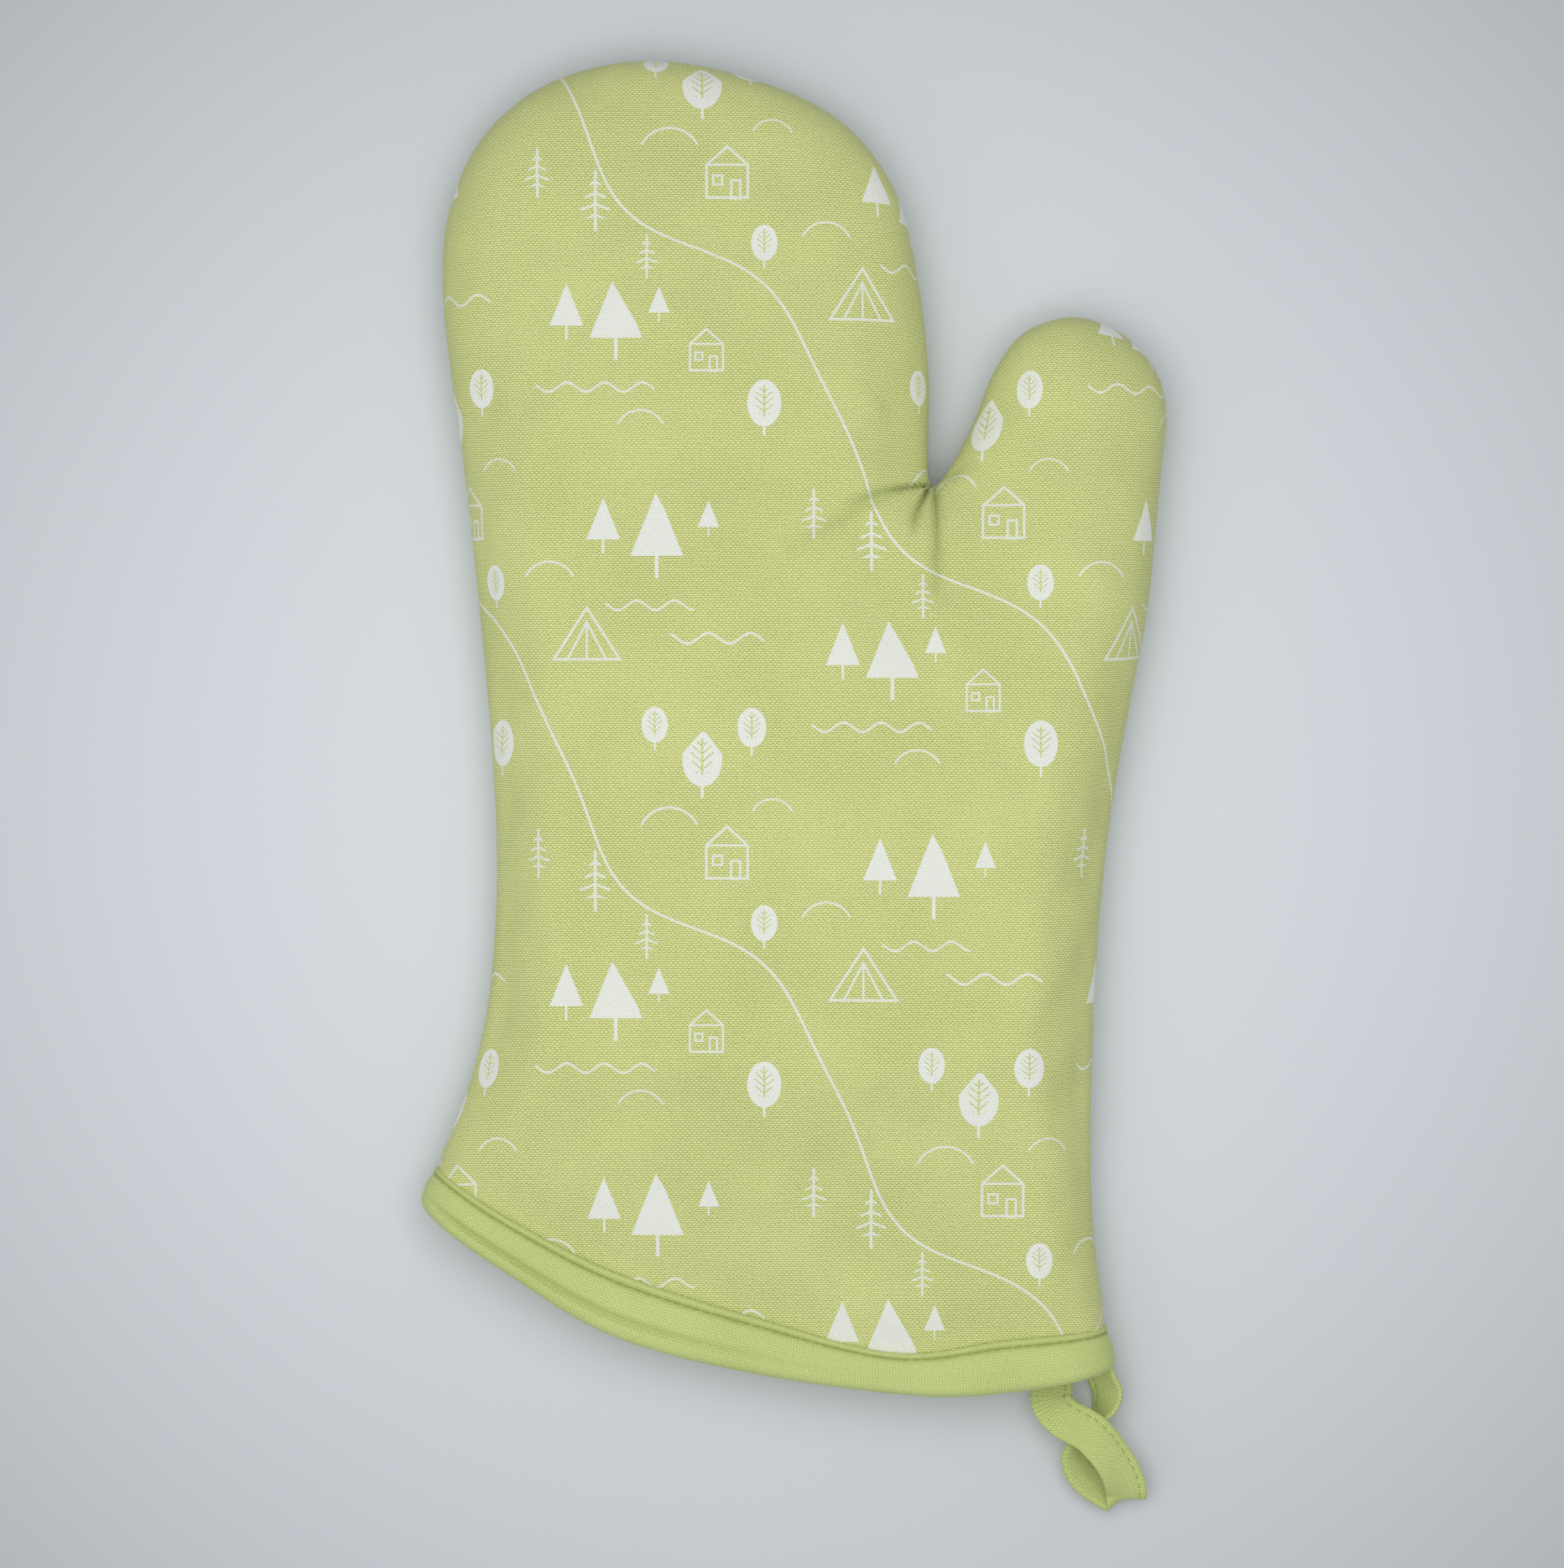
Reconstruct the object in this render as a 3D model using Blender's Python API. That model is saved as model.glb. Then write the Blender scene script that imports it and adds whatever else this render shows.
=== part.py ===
"""Padded oven mitt, lying on its back: +Y to the fingertips, +X to the thumb side, +Z up.

Two quilted halves, front and back, meet at one seam that runs round the hand. Each half is
a printed outer cloth, a wadding and a lining. A folded binding closes the cuff's edge, and a
hanging loop of the same cloth is sewn in at its corner. The cloth folds at the knuckles and
at the root of the thumb, so each panel is split there into rigid pieces.
"""

from math import exp, hypot, pi, sin, cos

import bmesh
import bpy
import numpy as np
from mathutils import Vector
from mathutils.geometry import delaunay_2d_cdt

# Driving dimensions, in millimetres. The meshes are scaled to metres as they are built.
MM = 0.001

SEAM_HEIGHT = 14.0        # the side seam above the table, and so the back half's depth
FRONT_RISE = 14.0         # the front half above the side seam
CUFF_SEAM_HEIGHT = 12.0   # the same two at the cuff, where the mitt is thinner
CUFF_FRONT_RISE = 12.0
CUFF_TAPER = (-60.0, -125.0)   # the mitt thins between these two places along Y
CROWN = 2.0               # extra swell in the middle of the palm
CROWN_RADIUS = 70.0
ROUND_FRONT = 20.0        # width of the rounded edge, seen from above
ROUND_BACK = 16.0
ROUND_CUFF = 14.0

GAP = 0.3                 # between pieces that touch
OUTER = (0.0, 1.0)        # depth of each layer below the mitt's surface
WADDING = (1.3, 5.3)
LINING = (5.6, 6.4)
SKIN_SPLIT = 0.15         # half the gap between a front and a back skin at the seam
WADDING_SPLIT = 0.5       # the wadding leaves a groove for the seam's threads
CUFF_SQUEEZE = 1.5        # the wadding is pressed thinner under the binding

BINDING_THICK = 1.0
BINDING_PINCH = (1.3, 1.3, 2.4)   # how far it presses the cloth in: hem, middle, top row
BINDING_TURN = 1.0        # depth of its points on the cut edge, in from the cloth's two faces
STITCH_ROW = 0.85         # place of the topstitch between the binding's middle and top rows
STITCH_RADIUS = 0.3
STITCH_SIDES = 5

SEAM_THREAD_RADIUS = 0.25
THREAD_SIDES = 4
OUTER_THREAD_DEPTH = 2.0
LINING_THREAD_DEPTH = 4.6
THREAD_CLEARANCE = 0.7    # a seam thread stops this far short of a fold or the hem

FOLD_GAP = 0.15           # half the gap between two bodies at a fold
SLOPE_STEP = 0.4          # the surface's slope is measured over this distance

# The mesh of triangles that every layer shares.
MESH_STEP = 15.0          # between points of the outline
GRID_STEP = 19.5          # between points inside it
GRID_ROWS = (-9, 12)      # rows and columns of the grid that together cover the mitt
GRID_COLUMNS = (-7, 7)
GRID_ROW_PITCH = 0.866    # between rows, as a share of the step: equal-sided triangles
GRID_INSET = 18.0         # the grid starts this far in from the outline
GRID_CLEARANCE = 10.8     # and keeps this far from the points already there
EDGE_ROWS = (3.5, 12.0)   # rows of points this far in from the outline
EDGE_ROW_SPACING = (3.0, 7.5)   # the least distance between two points of a row
EDGE_ROW_SLACK = 0.93     # a row's point counts as far enough in at this share of its depth
LEAST_SPACING = 3.15      # between any two points
CUFF_WIDTH = 190.0        # along the hem, flat
CUFF_COLUMNS = 9          # columns of points between the edge rows' columns
CUFF_COLUMN_INSET = 25.0  # the first and last of them, in from the cuff's two ends
CURVE_PIECES = 24         # pieces of a smooth curve between two points, to measure along it
SAME_POINT = 1e-5         # closer than this, two points of the plan are one
ON_LINE = 1e-3            # closer than this, a point is on a fold's line

TAPE_WIDTH = 8.0
TAPE_THICK = 1.2
TAPE_STITCH_INSET = 1.3   # the tape's own line of stitches, in from its edge
TAPE_STITCH_RADIUS = 0.2

# The outline of the seam, seen from above. It starts at the binding's top edge on the little
# finger's side, goes round the fingertips and down to the crotch of the thumb.
FINGER_OUTLINE = [
    (-88.2, -94.6), (-83.0, -82.0), (-78.4, -69.0), (-74.6, -50.0), (-72.9, -20.0),
    (-74.4, 12.0), (-77.2, 43.0), (-80.8, 76.0), (-84.3, 101.5), (-86.3, 122.0),
    (-84.8, 141.0), (-76.4, 159.5), (-60.0, 172.8), (-36.0, 178.3), (-10.0, 173.8),
    (12.0, 163.3), (25.6, 145.5), (31.2, 122.0), (33.4, 101.5), (33.4, 88.0), (33.3, 76.6),
]
CROTCH = [(34.4, 73.7), (36.6, 75.4)]
# From the crotch round the thumb and down to the binding's top edge on the thumb's side.
THUMB_OUTLINE = [
    (40.4, 81.2), (45.2, 91.1), (49.8, 102.5), (57.0, 111.6), (69.0, 115.3), (80.4, 111.5),
    (88.8, 103.0), (92.0, 92.0), (90.6, 76.0), (88.9, 58.0), (87.0, 40.9), (82.6, 18.0),
    (78.2, -8.0), (75.4, -34.0), (73.9, -62.0), (73.4, -86.0), (74.2, -110.0), (77.4, -134.0),
]
FINGER_FOLD_LEFT = FINGER_OUTLINE[8]
FINGER_FOLD_RIGHT = FINGER_OUTLINE[18]
THUMB_FOLD_INNER = THUMB_OUTLINE[1]
THUMB_FOLD_OUTER = THUMB_OUTLINE[10]
THUMB_STARTS_AT = 38.0    # along X: what lies to the left of it is never thumb

# The cloth's cut edge at the cuff, and the binding's top edge above it, left to right.
HEM = [(-91.6, -102.6), (-71.0, -117.0), (-43.5, -133.0), (-7.0, -142.7), (31.0, -148.0),
       (57.0, -146.5), (79.4, -142.6)]
BINDING_TOP = [(-88.2, -94.6), (-66.0, -108.6), (-42.0, -120.5), (-8.0, -131.2), (25.0, -139.2),
               (52.0, -136.4), (77.4, -134.0)]

# The hanging loop: points along the middle of its tape, and the way across the tape there.
LOOP_PATH = [
    ((65.0, -148.9, 8.0), (0.98, 0.21, 0.0)), ((64.8, -153.0, 9.6), (0.99, 0.12, 0.0)),
    ((67.4, -157.6, 11.4), (0.84, 0.54, 0.0)), ((72.6, -161.8, 12.2), (0.66, 0.75, 0.0)),
    ((78.0, -166.4, 11.4), (0.84, 0.54, 0.0)), ((81.4, -171.8, 9.4), (0.99, 0.12, 0.0)),
    ((82.2, -176.4, 6.6), (1.0, 0.0, 0.0)), ((80.2, -177.8, 3.4), (0.98, -0.1, -0.16)),
    ((76.2, -175.6, 3.4), (0.8, -0.2, -0.56)), ((71.8, -171.6, 4.4), (0.5, -0.1, -0.86)),
    ((70.8, -166.8, 4.7), (0.25, 0.0, -0.97)), ((73.0, -161.4, 4.9), (0.0, 0.0, -1.0)),
    ((77.0, -155.4, 5.6), (-0.5, 0.0, -0.87)), ((78.4, -150.4, 6.9), (-0.8, 0.0, -0.6)),
    ((78.2, -146.4, 8.0), (-0.88, -0.18, -0.44)),
]
LOOP_STEPS = 2            # pieces between two points of the tape's path

# The folds. Each axis lies just above the front surface, where the cloth creases.
FOLD_HEIGHT = 29.6
KNUCKLE_AXIS_AT = (-25.0, FINGER_FOLD_LEFT[1], FOLD_HEIGHT)

COLOURS = {
    "printed_cotton": ((0.545, 0.585, 0.235), 0.9),
    "wadding": ((0.80, 0.79, 0.75), 1.0),
    "lining_cotton": ((0.74, 0.72, 0.64), 0.95),
    "plain_cotton": ((0.47, 0.58, 0.17), 0.85),
    "thread": ((0.36, 0.47, 0.09), 0.7),
}


def smoothstep(start, end, value):
    t = min(max((value - start) / (end - start), 0.0), 1.0)
    return t * t * (3.0 - 2.0 * t)


def spline(points, per_span):
    """Points on a Catmull-Rom curve through `points`; `per_span` gives the pieces of each span."""
    p = [np.array(q, float) for q in points]
    p = [2 * p[0] - p[1]] + p + [2 * p[-1] - p[-2]]
    out = []
    for k in range(1, len(p) - 2):
        a, b, c, d = p[k - 1:k + 3]
        pieces = per_span(b, c)
        for i in range(pieces):
            t = i / pieces
            out.append(0.5 * (2 * b + (c - a) * t + (2 * a - 5 * b + 4 * c - d) * t ** 2
                              + (3 * b - a - 3 * c + d) * t ** 3))
    out.append(p[-2])
    return out


def by_length(step):
    return lambda b, c: max(1, round(float(np.linalg.norm(c - b)) / step))


def at_fractions(points, fractions):
    """Points at the given fractions of a smooth curve's length."""
    fine = np.array(spline(points, lambda b, c: CURVE_PIECES))
    run = np.concatenate([[0.0], np.cumsum(np.linalg.norm(np.diff(fine, axis=0), axis=1))])
    want = np.array(fractions) * run[-1]
    return np.stack([np.interp(want, run, fine[:, k]) for k in range(2)], axis=1)


# ---------------------------------------------------------------- the mitt's plan

def side_outline():
    """The seam from the cuff's left side over the fingers and the thumb to its right side."""
    fingers = spline(FINGER_OUTLINE, by_length(MESH_STEP))
    thumb = spline([CROTCH[-1]] + THUMB_OUTLINE, by_length(MESH_STEP))[1:]
    return np.array(fingers + [np.array(q) for q in CROTCH] + thumb)


def cuff_rows():
    """Three rows of points across the cuff: the hem, the binding's middle and its top edge."""
    inner = np.linspace(CUFF_COLUMN_INSET, CUFF_WIDTH - CUFF_COLUMN_INSET, CUFF_COLUMNS)
    across = [0.0, EDGE_ROWS[0], EDGE_ROWS[1], *inner, CUFF_WIDTH - EDGE_ROWS[1],
              CUFF_WIDTH - EDGE_ROWS[0], CUFF_WIDTH]
    fractions = [a / CUFF_WIDTH for a in across]
    hem = at_fractions(HEM, fractions)
    top = at_fractions(BINDING_TOP, fractions)
    return [hem, (hem + top) / 2, top]


class Plan:
    """The triangles that every layer shares, seen from above, with which body each is in."""

    def __init__(self):
        self.side = side_outline()
        self.rows = cuff_rows()
        rim = [self.rows[0][0], self.rows[1][0], *self.side, self.rows[1][-1], self.rows[0][-1]]
        self.rim = np.array(rim)
        self.thumb_normal = self.fold_normal(THUMB_FOLD_INNER, THUMB_FOLD_OUTER)
        self.points, self.faces = self.triangulate()
        self.seam = self.seam_order()

    @staticmethod
    def fold_normal(a, b):
        along = np.array(b) - np.array(a)
        return np.array([-along[1], along[0]]) / hypot(*along)

    def distance(self, p):
        """Distance from the seam."""
        a, b = self.rim[:-1], self.rim[1:]
        t = np.clip(((p - a) * (b - a)).sum(1) / ((b - a) ** 2).sum(1), 0, 1)
        near = a + t[:, None] * (b - a)
        d = np.hypot(*(near - p).T)
        k = int(d.argmin())
        return float(d[k])

    def fold_line(self, a, b):
        """Points along a fold, closer together near the seam."""
        a, b = np.array(a), np.array(b)
        length = hypot(*(b - a))
        inner = length - 2 * EDGE_ROWS[1]
        count = max(1, round(inner / GRID_STEP))
        middle = [EDGE_ROWS[1] + inner * k / count for k in range(count + 1)]
        at = [0.0, EDGE_ROWS[0], *middle, length - EDGE_ROWS[0], length]
        return [a + (b - a) * s / length for s in at]

    def triangulate(self):
        side, top = self.side, self.rows[2]
        folds = [self.fold_line(FINGER_FOLD_LEFT, FINGER_FOLD_RIGHT),
                 self.fold_line(THUMB_FOLD_INNER, THUMB_FOLD_OUTER)]
        loop = [*side, *top[-2:0:-1]]
        points = [np.array(q) for q in loop]
        edges = [(i, (i + 1) % len(loop)) for i in range(len(loop))]
        for fold in folds:
            ends = [int(np.hypot(*(side - q).T).argmin()) for q in (fold[0], fold[-1])]
            chain = [ends[0], *range(len(points), len(points) + len(fold) - 2), ends[1]]
            points += fold[1:-1]
            edges += list(zip(chain, chain[1:]))
        fixed = len(points)
        for row, apart in zip(EDGE_ROWS, EDGE_ROW_SPACING):
            for k in range(1, len(side) - 1):
                out = side[k + 1] - side[k - 1]
                out = np.array([-out[1], out[0]]) / hypot(*out)
                self.add(points, side[k] - out * row, EDGE_ROW_SLACK * row, apart, fixed)
        for j in range(*GRID_ROWS):
            for i in range(*GRID_COLUMNS):
                p = np.array([i + 0.5 * (j % 2), j * GRID_ROW_PITCH]) * GRID_STEP
                self.add(points, p, GRID_INSET, GRID_CLEARANCE, 0)
        verts, _, faces, source, _, _ = delaunay_2d_cdt(
            [Vector(p) for p in points], edges, [], 1, SAME_POINT)
        points = [np.array(v) for v in verts]
        faces = [f if self.turns_left(points, f) else f[::-1] for f in map(list, faces)]
        placed = {given[0]: k for k, given in enumerate(source) if given}
        return self.add_cuff(points, faces, len(side), len(top), placed)

    def add(self, points, p, least, apart, fixed):
        """Keep a point that is inside, deep enough and clear of the ones before it."""
        if not self.inside(p) or self.distance(p) < least:
            return
        if min((hypot(*(p - q)) for q in points[fixed:]), default=apart) < apart:
            return
        if min(hypot(*(p - q)) for q in points) < LEAST_SPACING:
            return
        points.append(p)

    def inside(self, p):
        ring = [*self.side, *self.rows[2][-2:0:-1]]
        hit = False
        for a, b in zip(ring, ring[1:] + ring[:1]):
            if (a[1] > p[1]) != (b[1] > p[1]):
                if p[0] < a[0] + (p[1] - a[1]) * (b[0] - a[0]) / (b[1] - a[1]):
                    hit = not hit
        return hit

    @staticmethod
    def turns_left(points, f):
        a, b, c = (points[k] for k in f[:3])
        return (b[0] - a[0]) * (c[1] - a[1]) - (b[1] - a[1]) * (c[0] - a[0]) > 0

    def add_cuff(self, points, faces, sides, columns, placed):
        """Join the cuff's two lower rows to the top row, which the mesh above already has."""
        top = [placed[0], *(placed[sides + columns - 2 - c] for c in range(1, columns - 1)),
               placed[sides - 1]]
        middle = [len(points) + c for c in range(columns)]
        hem = [len(points) + columns + c for c in range(columns)]
        points += [*self.rows[1], *self.rows[0]]
        for lower, upper in ((hem, middle), (middle, top)):
            for c in range(columns - 1):
                faces.append([lower[c], lower[c + 1], upper[c + 1]])
                faces.append([lower[c], upper[c + 1], upper[c]])
        self.cuff = (hem, middle, top)
        return np.array(points), faces

    def seam_order(self):
        """The seam's points in order, from the hem's left end to its right end."""
        return [int(np.hypot(*(self.points - q).T).argmin()) for q in self.rim]

    def body_of(self, face):
        x, y = self.points[face].mean(axis=0)
        if x < THUMB_STARTS_AT:
            return "fingers" if y > FINGER_FOLD_LEFT[1] else "hand"
        past = (np.array([x, y]) - THUMB_FOLD_INNER) @ self.thumb_normal
        return "thumb" if past > 0 else "hand"


# ---------------------------------------------------------------- the mitt's surface

class Surface:
    """Heights and normals of the front or the back, at every point of the plan."""

    def __init__(self, plan, up):
        self.plan = plan
        self.up = up
        self.on_seam = {k: i for i, k in enumerate(plan.seam)}
        self.pinch = {}
        for row, depth in zip(plan.cuff, BINDING_PINCH):
            self.pinch.update({k: depth for k in row})
        self.cuts = self.find_cuts()
        self.base = [self.point(k) for k in range(len(plan.points))]
        self.normals = [self.normal(k) for k in range(len(plan.points))]

    def find_cuts(self):
        """Points on each fold, with the fold's normal."""
        lines = [(FINGER_FOLD_LEFT, np.array([0.0, 1.0]), lambda p: p[0] < THUMB_STARTS_AT),
                 (THUMB_FOLD_INNER, self.plan.thumb_normal, lambda p: p[0] > THUMB_STARTS_AT)]
        cuts = {}
        for start, normal, near in lines:
            for k, p in enumerate(self.plan.points):
                if near(p) and abs((p - start) @ normal) < ON_LINE:
                    cuts[k] = np.array([*normal, 0.0])
        return cuts

    def height(self, p, d):
        """Height of the surface above the table at plan point p, d in from the seam."""
        cuff = smoothstep(*CUFF_TAPER, p[1])
        seam = SEAM_HEIGHT + (CUFF_SEAM_HEIGHT - SEAM_HEIGHT) * cuff
        if self.up > 0:
            rise = FRONT_RISE + (CUFF_FRONT_RISE - FRONT_RISE) * cuff
            swell = CROWN * exp(-(p[0] ** 2 + p[1] ** 2) / (2 * CROWN_RADIUS ** 2))
            width = ROUND_FRONT
        else:
            rise, swell, width = seam, 0.0, ROUND_BACK
        width += (ROUND_CUFF - width) * cuff
        s = 1.0 - min(d, width) / width
        full = (1.0 - s * s) ** 0.5
        return seam + self.up * (rise + swell) * full

    def point(self, k):
        p = self.plan.points[k]
        d = 0.0 if k in self.on_seam else self.plan.distance(p)
        return np.array([*p, self.height(p, d)])

    def normal(self, k):
        p = self.plan.points[k]
        if k in self.on_seam:
            n = np.array([*self.seam_normal(self.on_seam[k]), 0.0])
        else:
            slope = []
            for axis in np.eye(2) * SLOPE_STEP:
                ahead = self.height(p + axis, self.plan.distance(p + axis))
                behind = self.height(p - axis, self.plan.distance(p - axis))
                slope.append((ahead - behind) / (2 * SLOPE_STEP))
            n = self.up * np.array([-slope[0], -slope[1], 1.0])
        if k in self.cuts:
            n = n - (n @ self.cuts[k]) * self.cuts[k]
        return n / np.linalg.norm(n)

    def seam_normal(self, i):
        rim = self.plan.rim
        a, b = rim[max(i - 1, 0)], rim[min(i + 1, len(rim) - 1)]
        out = np.array([-(b - a)[1], (b - a)[0]])
        return out / hypot(*out)

    def squeezed(self, k, depth):
        if k not in self.pinch:
            return depth
        thin = min(max((depth - WADDING[0]) / (WADDING[1] - WADDING[0]), 0.0), 1.0)
        return depth + self.pinch[k] - CUFF_SQUEEZE * thin

    def place(self, k, depth, split, body_side):
        """Point k at a depth below the surface, clear of the seam and of a fold's other side."""
        q = self.base[k] - self.normals[k] * self.squeezed(k, depth)
        if k in self.on_seam:
            q = q + np.array([0.0, 0.0, self.up * split])
        if k in self.cuts:
            q = q + self.cuts[k] * FOLD_GAP * body_side
        return q


# ---------------------------------------------------------------- solids

def material(slot):
    found = bpy.data.materials.get(slot)
    if found:
        return found
    colour, roughness = COLOURS[slot]
    made = bpy.data.materials.new(slot)
    made.use_nodes = True
    shader = made.node_tree.nodes["Principled BSDF"]
    shader.inputs["Base Color"].default_value = (*colour, 1.0)
    shader.inputs["Roughness"].default_value = roughness
    return made


def add_object(name, points, faces, slot, pivot=None, parent=None):
    """One named solid in metres, with its origin at the pivot of its body."""
    origin = Vector(pivot or (0.0, 0.0, 0.0)) * MM
    mesh = bpy.data.meshes.new(name)
    mesh.from_pydata([Vector(p) * MM - origin for p in points], [], faces)
    mesh.validate()
    bm = bmesh.new()
    bm.from_mesh(mesh)
    bmesh.ops.recalc_face_normals(bm, faces=bm.faces)
    bm.to_mesh(mesh)
    bm.free()
    own = material(slot).copy()
    own.name = name
    mesh.materials.append(own)
    mesh.shade_smooth()
    obj = bpy.data.objects.new(name, mesh)
    bpy.context.scene.collection.objects.link(obj)
    if parent is None:
        obj.location = origin
    else:
        obj.parent = parent
    return obj


def panel(surface, body, layer, split):
    """One layer of one half of one body: the plan's triangles at two depths, closed all round."""
    plan = surface.plan
    side = -1.0 if body == "hand" else 1.0
    faces = [f for f in plan.faces if plan.body_of(f) == body]
    used = sorted({k for f in faces for k in f})
    index = {k: i for i, k in enumerate(used)}
    points = [surface.place(k, depth, split, side) for depth in layer for k in used]
    count = len(used)
    solid = []
    edges = {}
    for f in faces:
        a, b, c = (index[k] for k in f)
        solid += [(a, b, c), (a + count, c + count, b + count)]
        for p, q in ((a, b), (b, c), (c, a)):
            edges[(p, q)] = True
    for p, q in edges:
        if (q, p) not in edges:
            solid += [(q, p, p + count), (q, p + count, q + count)]
    return points, solid


def tube(path, radius, sides, closed=False):
    """A round tube through the points of a path, with flat ends unless it is closed."""
    path = [np.array(p, float) for p in path]
    count = len(path)
    points, faces = [], []
    for i, p in enumerate(path):
        ahead = path[(i + 1) % count] if closed or i + 1 < count else p
        behind = path[i - 1] if closed or i > 0 else p
        along = (ahead - behind) / np.linalg.norm(ahead - behind)
        across = np.cross(along, (0.0, 0.0, 1.0))
        across /= np.linalg.norm(across)
        up = np.cross(across, along)
        for k in range(sides):
            turn = 2 * pi * (k + 0.5) / sides
            points.append(p + radius * (cos(turn) * across + sin(turn) * up))
    for i in range(count if closed else count - 1):
        j = (i + 1) % count
        for k in range(sides):
            m = (k + 1) % sides
            faces.append((i * sides + k, i * sides + m, j * sides + m, j * sides + k))
    if not closed:
        faces.append(tuple(range(sides)))
        faces.append(tuple(range((count - 1) * sides, count * sides)))
    return points, faces


def pulled_in(path, by):
    """The path with each end moved along it by a small clearance."""
    path = [np.array(p, float) for p in path]
    for end, next_one in ((0, 1), (-1, -2)):
        along = path[next_one] - path[end]
        path[end] = path[end] + along / np.linalg.norm(along) * by
    return path


def seam_stretches(plan):
    """The seam's points for each stretch between the folds and the cuff."""
    def at(q):
        return int(np.hypot(*(plan.rim - np.array(q)).T).argmin())

    stops = [0, at(FINGER_FOLD_LEFT), at(FINGER_FOLD_RIGHT), at(THUMB_FOLD_INNER),
             at(THUMB_FOLD_OUTER), len(plan.rim) - 1]
    names = ("little_finger_side", "fingertips", "crotch", "thumb", "thumb_side")
    bodies = ("hand", "fingers", "hand", "thumb", "hand")
    return [(name, body, plan.seam[a:b + 1])
            for name, body, a, b in zip(names, bodies, stops, stops[1:])]


def cuff_ring(plan, front, back):
    """The columns round the cuff: across the front from left to right, and back underneath."""
    columns = len(plan.cuff[0])
    ring = [(front, c) for c in range(columns)]
    ring += [(back, c) for c in range(columns - 2, 0, -1)]
    return ring


def binding(plan, front, back):
    """The folded strip over the cuff's edge: a U in section, closed round the mouth."""
    hem, middle, top = plan.cuff
    inner = LINING[1] + GAP
    turn = [BINDING_TURN, LINING[1] - BINDING_TURN]
    outside_depths = [-GAP - BINDING_THICK] * 3 + turn + [inner + BINDING_THICK] * 3
    inside_depths = [inner] * 3 + turn[::-1] + [-GAP] * 3
    rows = [top, middle, hem, hem, hem, hem, middle, top]
    past_the_edge = (3, 4)    # the two points of each chain that go round the cut edge
    points = []
    for surface, c in cuff_ring(plan, front, back):
        down = plan.points[hem[c]] - plan.points[top[c]]
        down = np.array([*(down / hypot(*down)), 0.0])
        for depths, drop in ((outside_depths, GAP + BINDING_THICK), (inside_depths, GAP)):
            for k, (row, depth) in enumerate(zip(rows, depths)):
                q = surface.place(row[c], depth, 0.0, 0.0)
                points.append(q + down * drop if k in past_the_edge else q)
    sides = 2 * len(rows)
    count = len(points) // sides
    faces = []
    for i in range(count):
        j = (i + 1) % count
        for k in range(sides):
            m = (k + 1) % sides
            a, b, c, d = i * sides + k, i * sides + m, j * sides + m, j * sides + k
            faces += [(a, c, d), (a, b, c)]
    return points, faces


def binding_stitch(plan, front, back):
    """The topstitch that holds the binding, a little below its top edge."""
    _, middle, top = plan.cuff
    depth = -GAP - BINDING_THICK - GAP - STITCH_RADIUS
    path = []
    for surface, c in cuff_ring(plan, front, back):
        low = surface.place(middle[c], depth, 0.0, 0.0)
        high = surface.place(top[c], depth, 0.0, 0.0)
        path.append(low + (high - low) * STITCH_ROW)
    return tube(path, STITCH_RADIUS, STITCH_SIDES, closed=True)


def tape_frames():
    """Points along the hanging loop's tape, each with the ways across it and out of its face."""
    middle = spline([p for p, _ in LOOP_PATH], lambda b, c: LOOP_STEPS)
    across = spline([w for _, w in LOOP_PATH], lambda b, c: LOOP_STEPS)
    frames = []
    for i, (p, w) in enumerate(zip(middle, across)):
        along = middle[min(i + 1, len(middle) - 1)] - middle[max(i - 1, 0)]
        along = along / np.linalg.norm(along)
        w = w - (w @ along) * along
        w = w / np.linalg.norm(w)
        frames.append((p, w, np.cross(w, along)))
    return frames


def tape(frames):
    """The hanging loop's flat tape, with a half twist where it turns back under itself."""
    points, faces = [], []
    for p, w, n in frames:
        for sx, sz in ((-1, -1), (1, -1), (1, 1), (-1, 1)):
            points.append(p + w * sx * TAPE_WIDTH / 2 + n * sz * TAPE_THICK / 2)
    for i in range(len(frames) - 1):
        for k in range(4):
            m = (k + 1) % 4
            faces.append((i * 4 + k, i * 4 + m, i * 4 + 4 + m, i * 4 + 4 + k))
    last = 4 * (len(frames) - 1)
    faces += [(0, 1, 2, 3), (last, last + 1, last + 2, last + 3)]
    return points, faces


def tape_stitch(frames):
    """The line of stitches that closes the folded tape, along one edge of its face."""
    out = TAPE_THICK / 2 + GAP + TAPE_STITCH_RADIUS
    path = [p + w * (TAPE_WIDTH / 2 - TAPE_STITCH_INSET) + n * out for p, w, n in frames]
    return tube(path, TAPE_STITCH_RADIUS, THREAD_SIDES)


def add_pivot(name, at):
    """An empty on a fold's axis, which the pieces beyond the fold hang from."""
    pivot = bpy.data.objects.new(name, None)
    pivot.location = Vector(at) * MM
    bpy.context.scene.collection.objects.link(pivot)
    return pivot


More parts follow.
